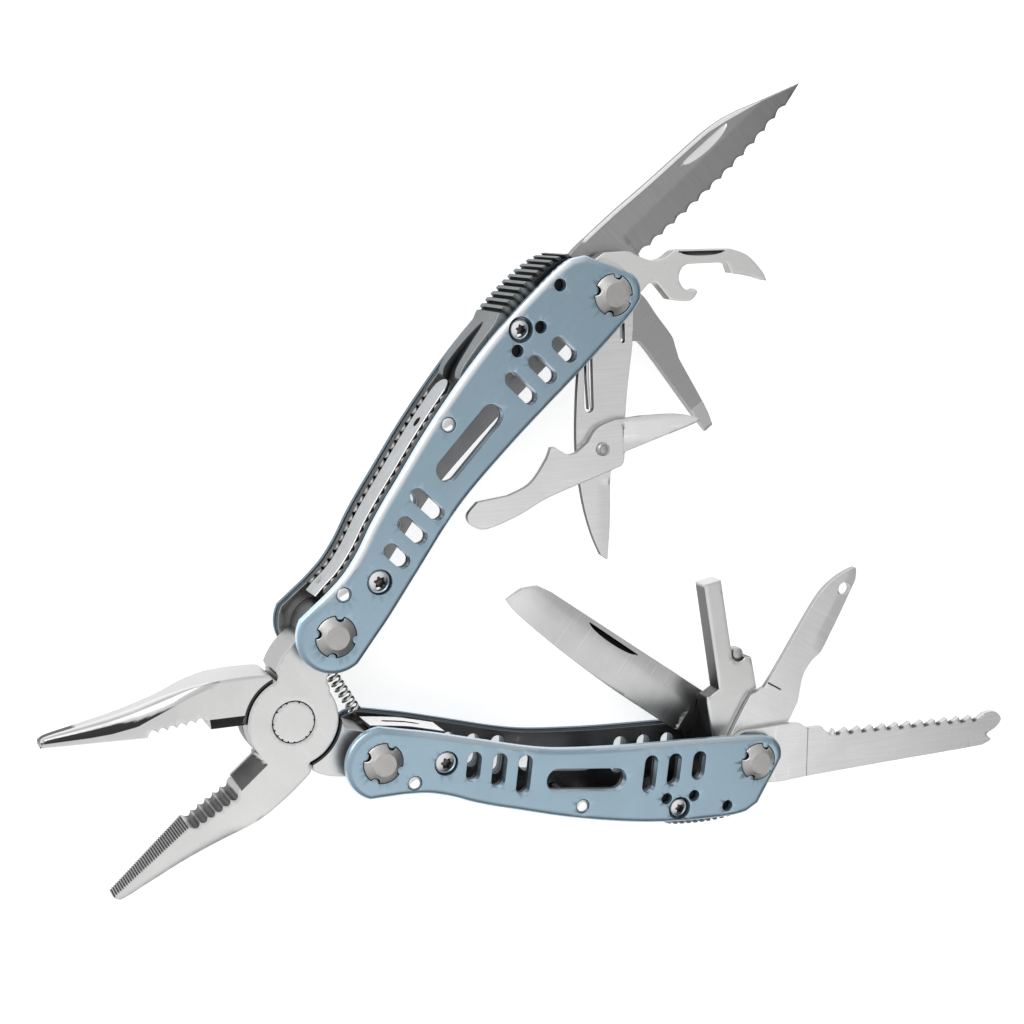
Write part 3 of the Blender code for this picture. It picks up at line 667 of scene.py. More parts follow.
def jaw(which, side, tang_joint, body_node):
    """A jaw with its half-lap disc and tang."""
    angle = JAW_ANGLE[which]
    place = np.array(JOINTS[tang_joint]["pos_m"][:2]) / MM - HEAD
    reach = float(np.hypot(*place))
    tang_angle = (math.degrees(math.atan2(place[1], place[0])) - angle) * side % 360
    turn = math.radians(tang_angle)
    out = smooth([(8.6, -4.2), (9.4, -3.4), (10.4, -3.0), (12.2, -3.4)], 5)
    tang = out + arc((reach, 0), 5.2, -130, 112, 40)
    tang += smooth([(14.0, 6.1), (11.6, 6.9), (9.6, 7.2)], 4) + [(8.2, 7.2), (7.4, 6.3)]
    tang = [(a * math.cos(turn) - b * math.sin(turn), a * math.sin(turn) + b * math.cos(turn))
            for a, b in tang]
    front = side > 0
    grip_line = [(17.0, 2.4), (22.5, 1.6), (27.5, 0.8)]
    hollows = scalloped(grip_line, 6, 0.75, 6)
    grip = toothed([(27.8, 0.15), (JAW_REACH, 0.15)], 36, 0.3, 0.5)
    rim = smooth([(46.8, 1.2), (45.6, 2.1), (40.0, 3.3), (32.3, 5.0), (25.8, 6.9), (20.0, 8.8),
                  (16.3, 9.6), (12.0, 10.0), (8.4, 10.1), (4.4, 9.8), (3.6, 8.4)])
    above = arc((0, 0), DISC_RADIUS, 70, tang_angle - 31, 50)
    below = arc((0, 0), DISC_RADIUS, tang_angle + 44, 356, 50)
    wedge_face = line((DISC_CLEARANCE, 0.15), (15.6, 0.15))
    outline = wedge_face + [(16.0, 2.0)] + hollows + grip + rim + above + tang + below
    hub = circle((0, 0), RIVET_RADIUS + 0.12, 72)
    bore = circle((reach * math.cos(turn), reach * math.sin(turn)), 2.4)
    back_at, grip_at = height_of(rim[::-1]), height_of(grip_line)
    face_at = height_of([(14, 9.2), (16, 8.4), (20.5, 6.9), (24.8, 4.8), (29.4, 2.6), (34, 1.7),
                         (38, 1.35), (46.8, 1.0)])

    def lie(x, y):
        """Where a spot is from the limit of the flat face, at 0, to the back, at 1."""
        end = back_at(x)
        start = end * 0.55 if front else face_at(x)
        return np.clip((y - start) / np.maximum(end - start, 0.3), 0, 1)

    def taper(x, y, near):
        """The nose narrows, and the rear jaw's rolls over towards its back."""
        slope = np.clip((x - 22) / 25.5, 0, 1) * (JAW_HALF - 2.05)
        share = np.clip((x - 15) / 9, 0, 1)
        amount = 0.12 if front else 0.8
        roll = share * (JAW_HALF - slope) * amount * (1 - np.sqrt(1 - 0.97 * lie(x, y) ** 2))
        return slope + roll

    def on_cutter(x, y):
        return (x > DISC_CLEARANCE - 0.02) & (x < 16.1) & (y < 2.5)

    def cutter(x, y, near):
        """The wire cutter's slope, which meets the other jaw's along a line."""
        return np.where(on_cutter(x, y), (2.5 - y) * (JAW_HALF - 0.35 if front else 1.5) / 2.35, 0)

    def lap(x, y, near):
        return np.where(np.hypot(x, y) < DISC_CLEARANCE, JAW_HALF + LAP_GAP, 0)

    def shade(x, y, near):
        """Painted light: dark grip edges with lighter crests and painted shade in the hollows,
        painted shade round the lap, round the hub, on the sides and at the tang's end, a darker
        cutter slope, and on the rear jaw a painted reflection streaking the nose.
        """
        r = np.hypot(x, y)
        side_wall = near < 0.02
        edge = (x > DISC_CLEARANCE) & (x < 47) & (y < 3.2) & side_wall
        # Painted shade in the scallop hollows, lighter at their cusps; painted shade in the grip's
        # grooves, lighter on its crests.
        hollow = np.where(y - grip_at(x) < 0.12, 0.5, 0.93)
        grip_shade = np.where(x > 27.7, np.where(y < 0.2, 0.45, 1.0), hollow)
        lap_wall = (r < 9.4) & (x > 0) & side_wall & (y > -2) & (y < 3)
        shade_line = side_wall & (r < 4.4) if front else (r < 9.75) & (r > 8.6)
        tang_end = side_wall & (np.hypot(x - reach * math.cos(turn), y - reach * math.sin(turn)) < 6)
        other = np.where(tang_end, 0.93, np.where(y > 2, 0.3, 0.55))
        # On the rear jaw's rolled back, a painted dark reflection and then a grey band of painted
        # reflection.
        t = lie(x, y)
        limit = 0.05 + 0.55 * np.clip((x - 22) / 11, 0, 1)
        dark = 0.95 * np.clip((x - 15) / 9, 0, 1) * np.clip((limit - t) / 0.06, 0, 1) * (t > 0.02)
        pale = 0.1 + 0.5 * np.clip(1 - np.abs(t - 0.82) / 0.12, 0, 1)
        nose_reflection = np.where(t > limit, pale, dark)
        nose_reflection = np.where((x > 14) & (y > 0.3) & (t > 0) & (not front), nose_reflection, 0)
        rest = np.where(lap_wall | shade_line, 0.95, np.where(side_wall, other, nose_reflection))
        return np.where(edge, grip_shade, np.where(on_cutter(x, y), 0.8, rest))

    creases = [line((9.3, 2.5), (16.1, 2.5)), line((9.3, 2.44), (16.08, 2.44)),
               line((16.14, 2.2), (16.14, 2.5))]
    seams = (DISC_CLEARANCE + 0.02, DISC_CLEARANCE - 0.02) + (() if front else (9.7, 9.8))
    creases += [ring((0, 0), radius, 120) for radius in seams]
    if not front:
        xs = np.arange(16, 46.4, 0.6)
        ends, starts = back_at(xs), face_at(xs)
        for k in (0, 0.03, 0.08, 0.16, 0.28, 0.4, 0.5, 0.54, 0.6, 0.7, 0.76, 0.82, 0.88, 0.94):
            creases.append(list(zip(xs, starts + (ends - starts) * k)))
    top = summed(taper, cutter) if front else summed(taper, cutter, lap)
    back = summed(taper, cutter, lap) if front else summed(taper, cutter)
    mesh = relief(outline, [hub, bore], (-JAW_HALF, JAW_HALF), (0.14, 0.14), (0.14, 0.14),
                  (0.1, 0.1), 0.7, creases, top, back, shade, side)
    piece(body_node, [mesh], placed(HEAD, angle), FINISH["steel"], 24)


def rivet():
    """The pivot rivet with a ragged peened rim, whose sides are painted dark as the shade in the gap
    round it.
    """
    rng = np.random.default_rng(4)
    steps = 120
    ragged = [RIVET_RADIUS - 0.02 - 0.28 * min(1.3, abs(rng.normal())) * (i % 6 == 0)
              for i in range(steps)]
    outline = [(r * x, r * y) for r, (x, y) in zip(ragged, circle((0, 0), 1.0, steps))]
    mesh = relief(outline, (), (-JAW_HALF, JAW_HALF), (0.12, 0.1), (0.12, 0.1), grid=0.8,
                  shade=lambda x, y, near: np.where(near < 0.03, 0.97, 0))
    piece("pliers_rivet", [mesh], placed(HEAD), FINISH["steel"])


def return_spring():
    """The small coil that opens the jaws, from the box of its CAD node."""
    start, end = Vector((8.5, 8.4, 0)), Vector((13.9, -0.6, 0))
    turns, steps, radius, wire, sides = 8, 24, 1.13, 0.32, 12
    run = end - start
    across = Vector((-run.y, run.x, 0)).normalized()
    up = Vector((0, 0, 1))
    shape = bmesh.new()
    rings = []
    for i in range(turns * steps + 1):
        turn = 2 * math.pi * i / steps
        out = across * math.cos(turn) + up * math.sin(turn)
        spot = start + run * (i / (turns * steps)) + out * radius
        ahead = run.normalized()
        rings.append([shape.verts.new((spot + (out * math.cos(a) + ahead * math.sin(a)) * wire) * MM)
                      for a in (2 * math.pi * k / sides for k in range(sides))])
    for a, b in zip(rings, rings[1:]):
        for k in range(sides):
            m = (k + 1) % sides
            shape.faces.new((a[k], b[k], b[m], a[m]))
    shape.faces.new(rings[0])
    shape.faces.new(rings[-1][::-1])
    mesh = as_mesh(shape, "coil")
    # Painted shade on the inner side of each turn of the coil.
    inner_shade = [0.95 if math.cos(2 * math.pi * k / sides) < 0.3 else 0.0 for k in range(sides)]
    mark(mesh, "shade", np.tile(inner_shade, len(rings)))
    coil = piece("return_spring", [mesh], placed(HEAD), FINISH["polished"], 60)
    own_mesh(coil)


# ---------------- handles

def handle_outline(gap):
    end = arc((0, 0.2), 7.4 - gap, 104, 260, 50)
    channel = [(u, v + gap) for u, v in smooth(CHANNEL, 6)]
    far = [(u - gap, v) for u, v in smooth(HANDLE_END, 8)]
    spine = [(u, v - gap) for u, v in smooth(SPINE[::-1], 6)]
    return end + channel + far + spine


def slots():
    upright = [slot((u, v), length, 3.0, True) for u, v, length in UPRIGHT_SLOTS]
    return upright + [slot((44.55, 3.85), 18.1, 4.8, False)]


def keyed_circle(radius, notch, start):
    """A circle with four round bites out of its rim."""
    rim = []
    for k in range(4):
        a = start + 90 * k
        centre = (radius * math.cos(math.radians(a)), radius * math.sin(math.radians(a)))
        clear = 2 * math.degrees(math.asin(notch / radius / 2))
        bend = clear / 2
        rim += arc((0, 0), radius, a - 90 + clear, a - clear, 18)
        rim += arc(centre, notch, a - 90 - bend, a - 270 + bend, 14)[1:-1]
    return rim


def round_holes(bolt, screw, pin, keyed=None):
    rim = circle((0, 0), bolt, 64) if keyed is None else keyed_circle(bolt, NOTCH - 0.14, keyed)
    bolts = [[(x + place[0], y + place[1]) for x, y in rim] for place in ((0, 0), TOOL_PIVOT)]
    return (bolts
            + [circle(place, screw, 36) for place in (SCREW_MAIN, SCREW_FAR)]
            + [circle(place, pin, 28) for place in (PIN_MAIN, PIN_MID)])


def scale(name, which, matrix, side):
    """An anodised outer plate with a broad bevel round its shown face."""
    front = which == "front"
    blind = [circle(place, 1.2, 28) for place in BLIND_HOLES]
    key = KEY_ANGLE[name] * side if front else None
    holes = slots() + round_holes(BOLT_RADIUS + 0.1, 2.5, 1.5, key) + blind
    layer = (SCALE_INNER, HALF_THICKNESS) if front else (-HALF_THICKNESS, -SCALE_INNER)
    broad, small = (1.35, 0.8), (0.1, 0.1)

    def shade(x, y, near):
        """Painted highlight along the front bevel's lit side, and painted shade on the rear plate's
        edge.
        """
        if not front:
            return np.where(near < 0.3, 0.8, 0)
        gap = distance(np.stack([x, y], 1), [handle_outline(0)])
        upper = name == "upper"
        lit = (y > 5.5) if upper else (y < -2.5)
        ends = np.clip((x - 1) / 8, 0, 1) * np.clip((88 - x) / 6, 0, 1)
        fall = np.clip((1.33 - gap) / 0.7, 0, 1) * (gap > 0.02)
        return np.where(lit, (-0.85 if upper else -0.3) * fall * ends, 0)

    mesh = relief(handle_outline(0), holes, layer, broad if front else small,
                  small if front else broad, (0.16, 0.16), grid=2.2, shade=shade, side=side)
    piece(f"{name}_{which}_scale", [mesh], matrix, FINISH["scale"], 40)


def liner(name, which, matrix, side):
    """A side plate with a toothed flange turned in along the spine."""
    face = 1 if which == "front" else -1
    layer = sorted((LINER_INNER * face, LINER_OUTER * face))
    holes = slots() + round_holes(2.4, 1.5, 1.0)

    def shade(x, y, near):
        """Painted shade: the bottoms of the blind holes are near black, and the lower handle's
        liners are darker all over as the shaded inside of that handle.
        """
        spots = np.stack([x, y], 1)
        deep = [np.linalg.norm(spots - place, axis=1) < 1.5 for place in BLIND_HOLES]
        return np.where(np.any(deep, axis=0), 0.97, 0.0 if name == "upper" else 0.6)

    marks = [ring(place, 1.45, 28) for place in BLIND_HOLES]
    flat = relief(handle_outline(0.5), holes, layer, grid=2.5, creases=marks, shade=shade,
                  side=side)
    comb = [(5.0 + i, 3.5 if i % 2 else 5.1) for i in range(45)]
    sheet = comb + [(u, LINER_INNER + 0.4) for u in np.arange(49.0, 4.9, -0.8)]
    sheet = [(u, z * face) for u, z in sheet]

    def comb_shade(x, y, near):
        """Painted highlights on the tooth tips, and painted shade in the roots."""
        return np.where(np.abs(y) < 4.6, np.where(near < 0.02, -0.5, -0.2), 0.9)

    rows = [line((5.0, z * face), (49.0, z * face), 0.9) for z in (4.5, 4.9)]
    flange = relief(sheet, (), (-0.4, 0.45), (0.1, 0.1), (0.1, 0.1), creases=rows,
                    shade=comb_shade)
    bent(flange, spine_at, -0.6, side)
    piece(f"{name}_{which}_liner", [flat, flange], matrix, FINISH["liner"], 35)


def spring_bar(name, matrix, side):
    width = 3.1
    edge = [(u, -width) for u in np.arange(4.2, 48.6, 0.8)]
    outline = [(3.5, -width)] + edge + arc((48.9, 0), width, -80, 80, 24)
    outline += [(u, width) for u, _ in edge[::-1]] + [(3.5, width)]

    def dished(x, y, near):
        """A shallow trough along the bar, and a dimple near its free end."""
        dimple = 0.35 * np.exp(-((x - 6.5) ** 2 + (y + 1.0) ** 2) / 0.5)
        return dimple + 0.12 * np.clip(1 - np.abs(y) / 2.4, 0, 1)

    def shade(x, y, near):
        # Painted shade on the bar's sides and in its dimple.
        dimple = 0.6 * np.exp(-((x - 6.5) ** 2 + (y + 1.0) ** 2) / 0.35)
        return np.where(near < 0.02, 0.85, dimple)

    mesh = relief(outline, [circle((42.0, 0), 1.0, 28)], (-0.5, 0.5), (0.35, 0.3), (0.15, 0.15),
                  (0.15, 0.15), 0.8, top=dished, shade=shade)
    bent(mesh, spine_at, -0.6, side)
    piece(f"{name}_spring_bar", [mesh], matrix, FINISH["bar"], 35)


def channel_leaf(name, matrix, side):
    width = 3.4
    edge = [(u, -width) for u in np.arange(-0.9, 15.1, 0.8)]
    outline = [(-1.5, -width)] + edge + [(u, width) for u, _ in edge[::-1]] + [(-1.5, width)]
    mesh = relief(outline, [slot((6, 0), 8, 1.1, False)], (-0.4, 0.4), (0.15, 0.15), (0.15, 0.15),
                  (0.08, 0.08), 0.9, shade=walls(0.9))
    bent(mesh, channel_at, 0.7, side)
    piece(f"{name}_channel_leaf", [mesh], matrix, FINISH["brushed"], 35)


def lock_lever(name, matrix, side):
    """The thumb lever: ridges across its back end and a tapering groove at its front."""
    top_at = height_of(smooth([(52.6, 12.4), (54.5, 13.5), (60, 14.05), (65, 14.25), (68, 14.9),
                               (76, 14.5), (82, 13.3), (85.2, 11.6)]))
    under_at = height_of([(52.6, 11.2), (58, 11.4), (63.5, 11.3), (71, 11.3), (78, 10.9),
                          (84.4, 9.7), (85.2, 9.7)])
    floor_height, roof, half = 5.0, 15.0, 5.8
    first, pitch, count = 66.6, 1.62, 12
    mouth, tip = 52.0, 65.0

    def half_width(x):
        return 0.3 + 3.1 * np.clip((tip - x) / (tip - mouth), 0, 1) ** 0.6

    def in_groove(x, y):
        return (np.abs(y) < half_width(x) - 0.03) & (x < tip)

    def in_valley(x):
        phase = np.mod(x - first, pitch) / pitch
        return (x > first) & (x < first + pitch * count) & (phase > 0.45)

    def top(x, y, near):
        valleys = np.where(in_valley(x), 0.85, 0)
        groove = np.where(in_groove(x, y), 0.4 + 1.2 * (tip - x) / (tip - mouth), 0)
        return roof - top_at(x) + np.maximum(valleys, groove)

    def back(x, y, near):
        return under_at(x) - floor_height

    def shade(x, y, near):
        # Painted shade in the groove, darkest towards its mouth, and in the valleys between the
        # ridges.
        deep = 0.55 + 0.42 * np.clip((tip - x) / 9, 0, 1)
        return np.where(in_groove(x, y), deep, np.where(in_valley(x), 0.93, 0))

    creases = []
    for i in range(count):
        for share in (0.01, 0.44, 0.47, 0.98):
            u = first + pitch * (i + share)
            creases.append(line((u, -half + 0.2), (u, half - 0.2), 1.2))
    for s in (1, -1):
        for gap in (0.0, 0.06):
            creases.append([(u, s * (half_width(u) - gap)) for u in np.arange(52.7, 65.01, 0.41)])
    for u in (64.96, 65.04):
        creases.append(line((u, -0.35), (u, 0.35), 0.2))
    outline = line((52.6, -half), (85.2, -half), 0.8) + line((85.2, half), (52.6, half), 0.8)
    slab = relief(outline, (), (floor_height, roof), (0.3, 0.3), (0.1, 0.1), grid=0.9,
                  creases=creases, top=top, back=back, shade=shade)
    bent(slab, lambda u: 0 * u, 0, side)
    boss = relief(circle(SCREW_FAR, 2.7), [circle(SCREW_FAR, 1.5, 36)], (-half, half), side=side)
    piece(f"{name}_lock_lever", [slab, boss], matrix, FINISH["lever"], 25)


def bolt_head(name, which, spot):
    """A coned head with four round notches in its rim, on a shaft, and a nut behind."""
    radius = BOLT_RADIUS
    rim = keyed_circle(radius, NOTCH, KEY_ANGLE[name])

    flat, reach = 2.3, LINER_OUTER + 0.15

    def cone(x, y, near):
        r = np.hypot(x, y)
        return np.clip((r - flat) / (radius - flat), 0, 1) * (BOLT_TOP - HALF_THICKNESS)

    head = relief(rim, (), (reach, BOLT_TOP), (0.2, 0.2), grid=0.8, top=cone, shade=walls(0.9),
                  creases=[ring((0, 0), r) for r in (flat, flat + 0.12)])
    shaft = spun([(0, 7.2), (2.1, 7.2), (2.1, -LINER_OUTER), (0, -LINER_OUTER)])
    piece(f"{name}_{which}_bolt", [head, shaft], spot, FINISH["bolt"], 30)
    nut = spun([(0, -reach), (radius, -reach), (radius, -HALF_THICKNESS),
                (radius - 0.08, -HALF_THICKNESS - 0.15), (radius - 0.85, -BOLT_TOP + 0.1),
                (radius - 1.0, -BOLT_TOP), (2.0, -BOLT_TOP), (1.85, -BOLT_TOP + 0.3),
                (0, -BOLT_TOP + 0.3)])
    piece(f"{name}_{which}_nut", [nut], spot, FINISH["bolt"], 30)


def screw(name, which, spot, radius):
    """A domed screw with a six-lobed socket, its post, and its rear head."""
    base, size = LINER_OUTER + 0.15, radius * 0.45

    def lobed(a):
        """The socket's radius at an angle, for a mean radius of 1."""
        return 1 + 0.16 * np.cos(6 * a)

    def in_socket(x, y):
        return np.hypot(x, y) < size * lobed(np.arctan2(y, x))

    def dome(x, y, near):
        return 0.75 * (np.hypot(x, y) / radius) ** 2.2 + np.where(in_socket(x, y), 1.0, 0)

    def shade(x, y, near):
        """Painted shade in the socket and on the outer ring, and a soft painted dark reflection on
        one quarter of the polished dome.
        """
        quarter = np.clip(np.cos(np.arctan2(y, x) + 1.2), 0, 1) ** 2 * (np.hypot(x, y) / radius)
        return np.where(in_socket(x, y), 0.93, np.where(near < 0.1, 0.95, 0.75 * quarter))

    def brim(mean):
        """The socket's outline as a closed crease."""
        found = [(mean * lobed(a) * math.cos(a), mean * lobed(a) * math.sin(a))
                 for a in (2 * math.pi * i / 72 for i in range(72))]
        return found + found[:1]

    head = relief(circle((0, 0), radius, 60), (), (base, HALF_THICKNESS), (0.25, 0.25), grid=0.35,
                  creases=[brim(size * 1.02), brim(size * 0.97)], top=dome, shade=shade)
    post = spun([(0, base), (1.15, base), (1.15, -LINER_OUTER), (0, -LINER_OUTER)])
    piece(f"{name}_screw_{which}", [head, post], spot, FINISH["polished"])
    rear = spun([(0, -base), (radius, -base), (radius, 0.5 - HALF_THICKNESS),
                 (radius * 0.85, 0.25 - HALF_THICKNESS), (radius * 0.6, 0.1 - HALF_THICKNESS),
                 (radius * 0.3, 0.02 - HALF_THICKNESS), (0, -HALF_THICKNESS)])
    piece(f"{name}_rear_screw_{which}", [rear], spot, FINISH["polished"], 50)


def pin(name, which, spot):
    reach = HALF_THICKNESS - 0.05
    half = [(0, reach), (0.9, reach), (1.2, reach - 0.06), (1.4, reach - 0.25), (1.4, SCALE_INNER),
            (0.7, SCALE_INNER)]
    mesh = spun(half + [(r, -z) for r, z in half[::-1]], 40)
    piece(f"{name}_pin_{which}", [mesh], spot, FINISH["polished"], 50)


def washer(node, low, high, radius, matrix):
    bevel, bore = 0.1, 2.4
    mesh = spun([(bore, high), (radius - bevel, high), (radius, high - bevel),
                 (radius, low + bevel), (radius - bevel, low), (bore, low), (bore, high)])
    piece(node, [mesh], matrix, FINISH["steel"])


def handle(name, side):
    """All the fixed pieces of one handle. Returns the frame of its tools."""
    tang = np.array(JOINTS[f"{name}_handle_pivot"]["pos_m"][:2]) / MM
    far_joint = "can_opener_pivot" if name == "upper" else "saw_blade_pivot"
    far = np.array(JOINTS[far_joint]["pos_m"][:2]) / MM
    lean = side * math.atan2(TOOL_PIVOT[1], TOOL_PIVOT[0])
    angle = math.degrees(math.atan2(*(far - tang)[::-1]) - lean)
    matrix = placed(tang, angle)
    for which in ("front", "back"):
        scale(name, which, matrix, side)
        liner(name, which, matrix, side)
    spring_bar(name, matrix, side)
    channel_leaf(name, matrix, side)
    lock_lever(name, matrix, side)

    def at(place):
        return matrix @ placed((place[0], place[1] * side))

    bolt_head(name, "main", at((0, 0)))
    bolt_head(name, "far", at(TOOL_PIVOT))
    screw(name, "main", at(SCREW_MAIN), 2.3)
    screw(name, "far", at(SCREW_FAR), 2.0)
    pin(name, "main", at(PIN_MAIN))
    pin(name, "mid", at(PIN_MID))
    inner, outer = JAW_HALF + LAP_GAP, LINER_INNER - LAP_GAP
    washer(f"{name}_main_washer_front", inner, outer, 4.8, matrix)
    washer(f"{name}_main_washer_back", -outer, -inner, 4.8, matrix)
    return placed(far)


# ---------------- fold-out tools

def base(start, end):
    return arc((0, 0), 6.5, start, end, 40)


def own_frame(node, tools):
    return tools @ placed((0, 0), TOOL_ANGLE[node])


def tool(node, outline, tools, finish, slot_name="satin", holes=(), **looks):
    pivot = circle((0, 0), 2.4)
    looks.setdefault("grid", 0.7)
    looks.setdefault("shade", walls(0.6))
    mesh = relief(outline, [pivot] + list(holes), LAYER[node], **looks)
    piece(node, [mesh], own_frame(node, tools), FINISH[finish], 22)


def serrated_blade(tools):
    spine = [(0.0, 8.0), (3.4, 8.5), (14.0, 7.2), (24.0, 5.5), (39.0, 3.2), (45.0, 1.7),
             (49.0, 0.0), (53.5, -2.3), (62.3, -6.4)]
    edge = smooth([(56.9, -7.2), (43.3, -7.0), (30.0, -5.7), (15.8, -3.7), (12.4, -3.1)])
    back_line = smooth(spine[:6], 4) + spine[6:]
    back_at, clip_at = height_of(back_line), height_of([(41, 2.1), (44.7, 0.95), (53.5, -2.3)])
    outline = base(230, 110) + back_line
    outline += scalloped(edge, 13, -0.7, 8) + [(9.5, -4.4), (4.0, -5.6)]
    nick, marks, nick_highlight = chord_nick((31.7, 2.6), (44.7, 0.7), (38.2, -0.1), 0.45, -0.9)
    hollow = grind(((12.5, 2.4), (53.7, -2.3)), edge[::-1], 1.6)

    def facet_foot(x):
        """The lower line of the swedge facet, a band of painted highlight that runs along the back
        and widens at the clip.
        """
        return np.where(x < 41, back_at(x) - 0.62, clip_at(x))

    def swedge(x, y, near):
        return np.where((x > 6) & (x < 53.5), np.clip(y - facet_foot(x), 0, 1.6) * 0.4, 0)

    def light_and_tone(x, y, near):
        # A painted highlight on the back's band, a painted dark line beneath it, and the nick's
        # painted highlight.
        over = y - facet_foot(x)
        band = np.where((over > -0.01) & (x > 6) & (x < 53.4), -0.85, 0)
        shade_line = np.where((over <= -0.01) & (over > -0.2) & (x > 6) & (x < 45), 0.4, 0)
        return band + shade_line + nick_highlight(x, y, near)

    xs = np.arange(6.0, 53.2, 0.7)
    feet = facet_foot(xs)
    marks += [list(zip(xs, feet + gap)) for gap in (0.0, -0.04, -0.21)]
    marks += [line((12.5, 2.4), (53.7, -2.3)), line((12.5, 2.4), (11.4, -3.6)),
              line((12.3, 2.4), (11.2, -3.6))]
    cuts = summed(hollow, swedge)
    tool("serrated_blade", outline, tools, "dark", "dark_steel", top=summed(cuts, nick), back=cuts,
         creases=marks, grid=0.6, shade=walls(0.6, light_and_tone))


def can_opener(tools):
    top = smooth([(0.8, 7.9), (5.8, 8.1), (7.5, 7.5), (9.3, 6.8), (11.3, 6.3), (13.3, 6.4),
                  (14.8, 7.1), (16.3, 8.1), (18.0, 8.35)], 5)
    hook = smooth([(29.3, 8.4), (33.3, 7.0), (36.8, 3.8), (37.9, 1.8)])
    under = smooth([(37.9, 1.8), (34.0, 2.8), (29.5, 3.5)], 4)[1:]
    under += smooth([(29.5, 3.5), (29.1, 4.6), (28.4, 5.4), (26.0, 5.6), (19.3, 5.4)], 4)[1:]
    mouth = smooth([(18.2, 4.8), (17.5, 2.7), (18.6, 0.7), (20.3, 0.2), (21.4, 0.5)])
    lip = smooth([(21.9, -0.2), (20.0, -1.9), (15.5, -1.5)], 4)
    notch = smooth([(13.8, 0.4), (12.4, 1.7), (10.8, 1.7), (9.4, 0.4), (6.4, -2.5)])
    outline = base(-40, -255) + top + hook + under + mouth + lip + notch
    # The nick's hollow gets painted shade.
    nick, marks, light_and_tone = chord_nick((17.6, 7.9), (27.6, 8.0), (22.6, 7.0), 0.8, 0.75)
    tool("can_opener", outline, tools, "bright", top=nick, creases=marks,
         top_edge=(0.18, 0.18), grid=0.6, shade=walls(0.6, light_and_tone))


def screwdriver(tools):
    top = [(4.5, 8.6), (8.4, 9.8), (12.9, 10.0), (18.4, 10.45), (20.9, 9.9), (23.4, 9.2),
           (36.9, 8.6), (39.8, 8.1), (39.9, 5.8)]
    under = [(33.9, 5.3), (20.9, 4.5), (15.4, 3.9), (14.0, 2.6), (10.0, -1.0)]
    outline = base(-40, -255) + smooth(top[:6], 4) + top[6:] + under[:1] + smooth(under[1:], 5)

    def tip(x, y, near):
        return np.clip((x - 33.9) / 6.0, 0, 1) * 0.55

    def light_and_tone(x, y, near):
        """The tip, past the line where its taper starts, is lighter."""
        return np.where(x > 33.9, -0.55, 0)

    tool("screwdriver", outline, tools, "dark", "dark_steel", top=tip, back=tip,
         creases=[line((33.88, 5.5), (33.88, 8.6)), line((33.93, 5.5), (33.93, 8.6))],
         shade=walls(0.5, light_and_tone))


def scissors(tools):
    right = smooth([(2.0, 6.6), (10.0, 6.1), (20.0, 4.6), (31.4, 3.6)], 5)
    right += smooth([(31.4, 3.6), (33.2, 2.6), (35.0, 0.8), (37.0, 0.45), (45.0, 0.2),
                     (53.2, -0.6)], 5)[1:]
    left = smooth([(52.0, -2.1), (47.0, -4.1), (40.0, -5.8), (30.5, -6.8), (20.0, -6.4),
                   (10.0, -5.3), (5.0, -5.0)])
    rivet = (30.3, -1.8)

    def ground(x, y, near):
        return np.where(x > 37.0, np.clip((y + 2.2) / 2.6, 0, 1) * 0.1, 0)

    # The arm's sides and the walls of its slots get painted shade.
    tool("scissors_arm", base(-60, -270) + right + left, tools, "ground",
         holes=[circle(rivet, 1.0, 24), slot((16.5, -3.8), 13.0, 2.0, False),
                slot((7.7, 4.0), 4.2, 0.9, False)], top=ground, shade=walls(0.9),
         creases=[line((37.0, -6.0), (37.0, 0.4)), line((37.0, -2.2), (52.0, -1.6))])
    arm = own_frame("scissors_arm", tools)
    spot = arm @ placed(rivet)
    neck = smooth([(1.2, 4.9), (3.4, 4.4), (4.4, 1.9), (6.2, -4.3), (8.7, -12.6), (11.4, -18.6),
                   (13.4, -25.6), (12.2, -28.7), (10.2, -29.3), (7.9, -27.1)])
    inner = smooth([(7.3, -20.6), (5.4, -15.9), (1.4, -12.5), (-1.3, -11.2)])
    shoulder = smooth([(-1.3, -10.3), (0.4, -7.6), (0.2, -5.7)], 4)
    flank = smooth([(-1.6, -3.1), (-4.3, -0.9), (-5.6, 3.0)])
    blade = smooth([(-5.9, 8.9), (-5.6, 17.0), (-4.0, 22.2), (-2.1, 16.9)])

    def edge(x, y, near):
        return np.where(y > 4.9, np.clip((x + 5.0) / 4.0, 0, 1) * 0.6, 0)

    lever = relief(neck + inner + shoulder + flank + blade, [circle((0, 0), 1.0, 24)],
                   LAYER["scissors_lever"], (0.15, 0.15), (0.15, 0.15), grid=0.6, top=edge,
                   creases=[line((-5.6, 4.9), (1.0, 4.9))], shade=walls(0.6))
    piece("scissors_lever", [lever], spot, FINISH["ground"], 22)
    low, high = LAYER["scissors_arm"][0], LAYER["scissors_lever"][1]
    head = spun([(0, high + 0.62), (0.6, high + 0.6), (0.85, high + 0.5), (0.9, high + 0.72),
                 (1.05, high + 0.78), (1.25, high + 0.6), (1.35, high + 0.2), (0.85, high + 0.2),
                 (0.85, low), (0, low)], 40)
    piece("scissors_rivet", [head], spot, FINISH["bolt"], 40)
    strip = [(11.0, -4.1), (16.0, -4.2), (22.4, -3.9), (22.4, -3.4), (16.0, -3.6), (11.0, -3.5)]
    leaf = relief(strip, (), LAYER["scissors_arm"], (0.08, 0.08), (0.08, 0.08), shade=walls(0.95))
    piece("scissors_spring", [leaf], arm, FINISH["polished"])


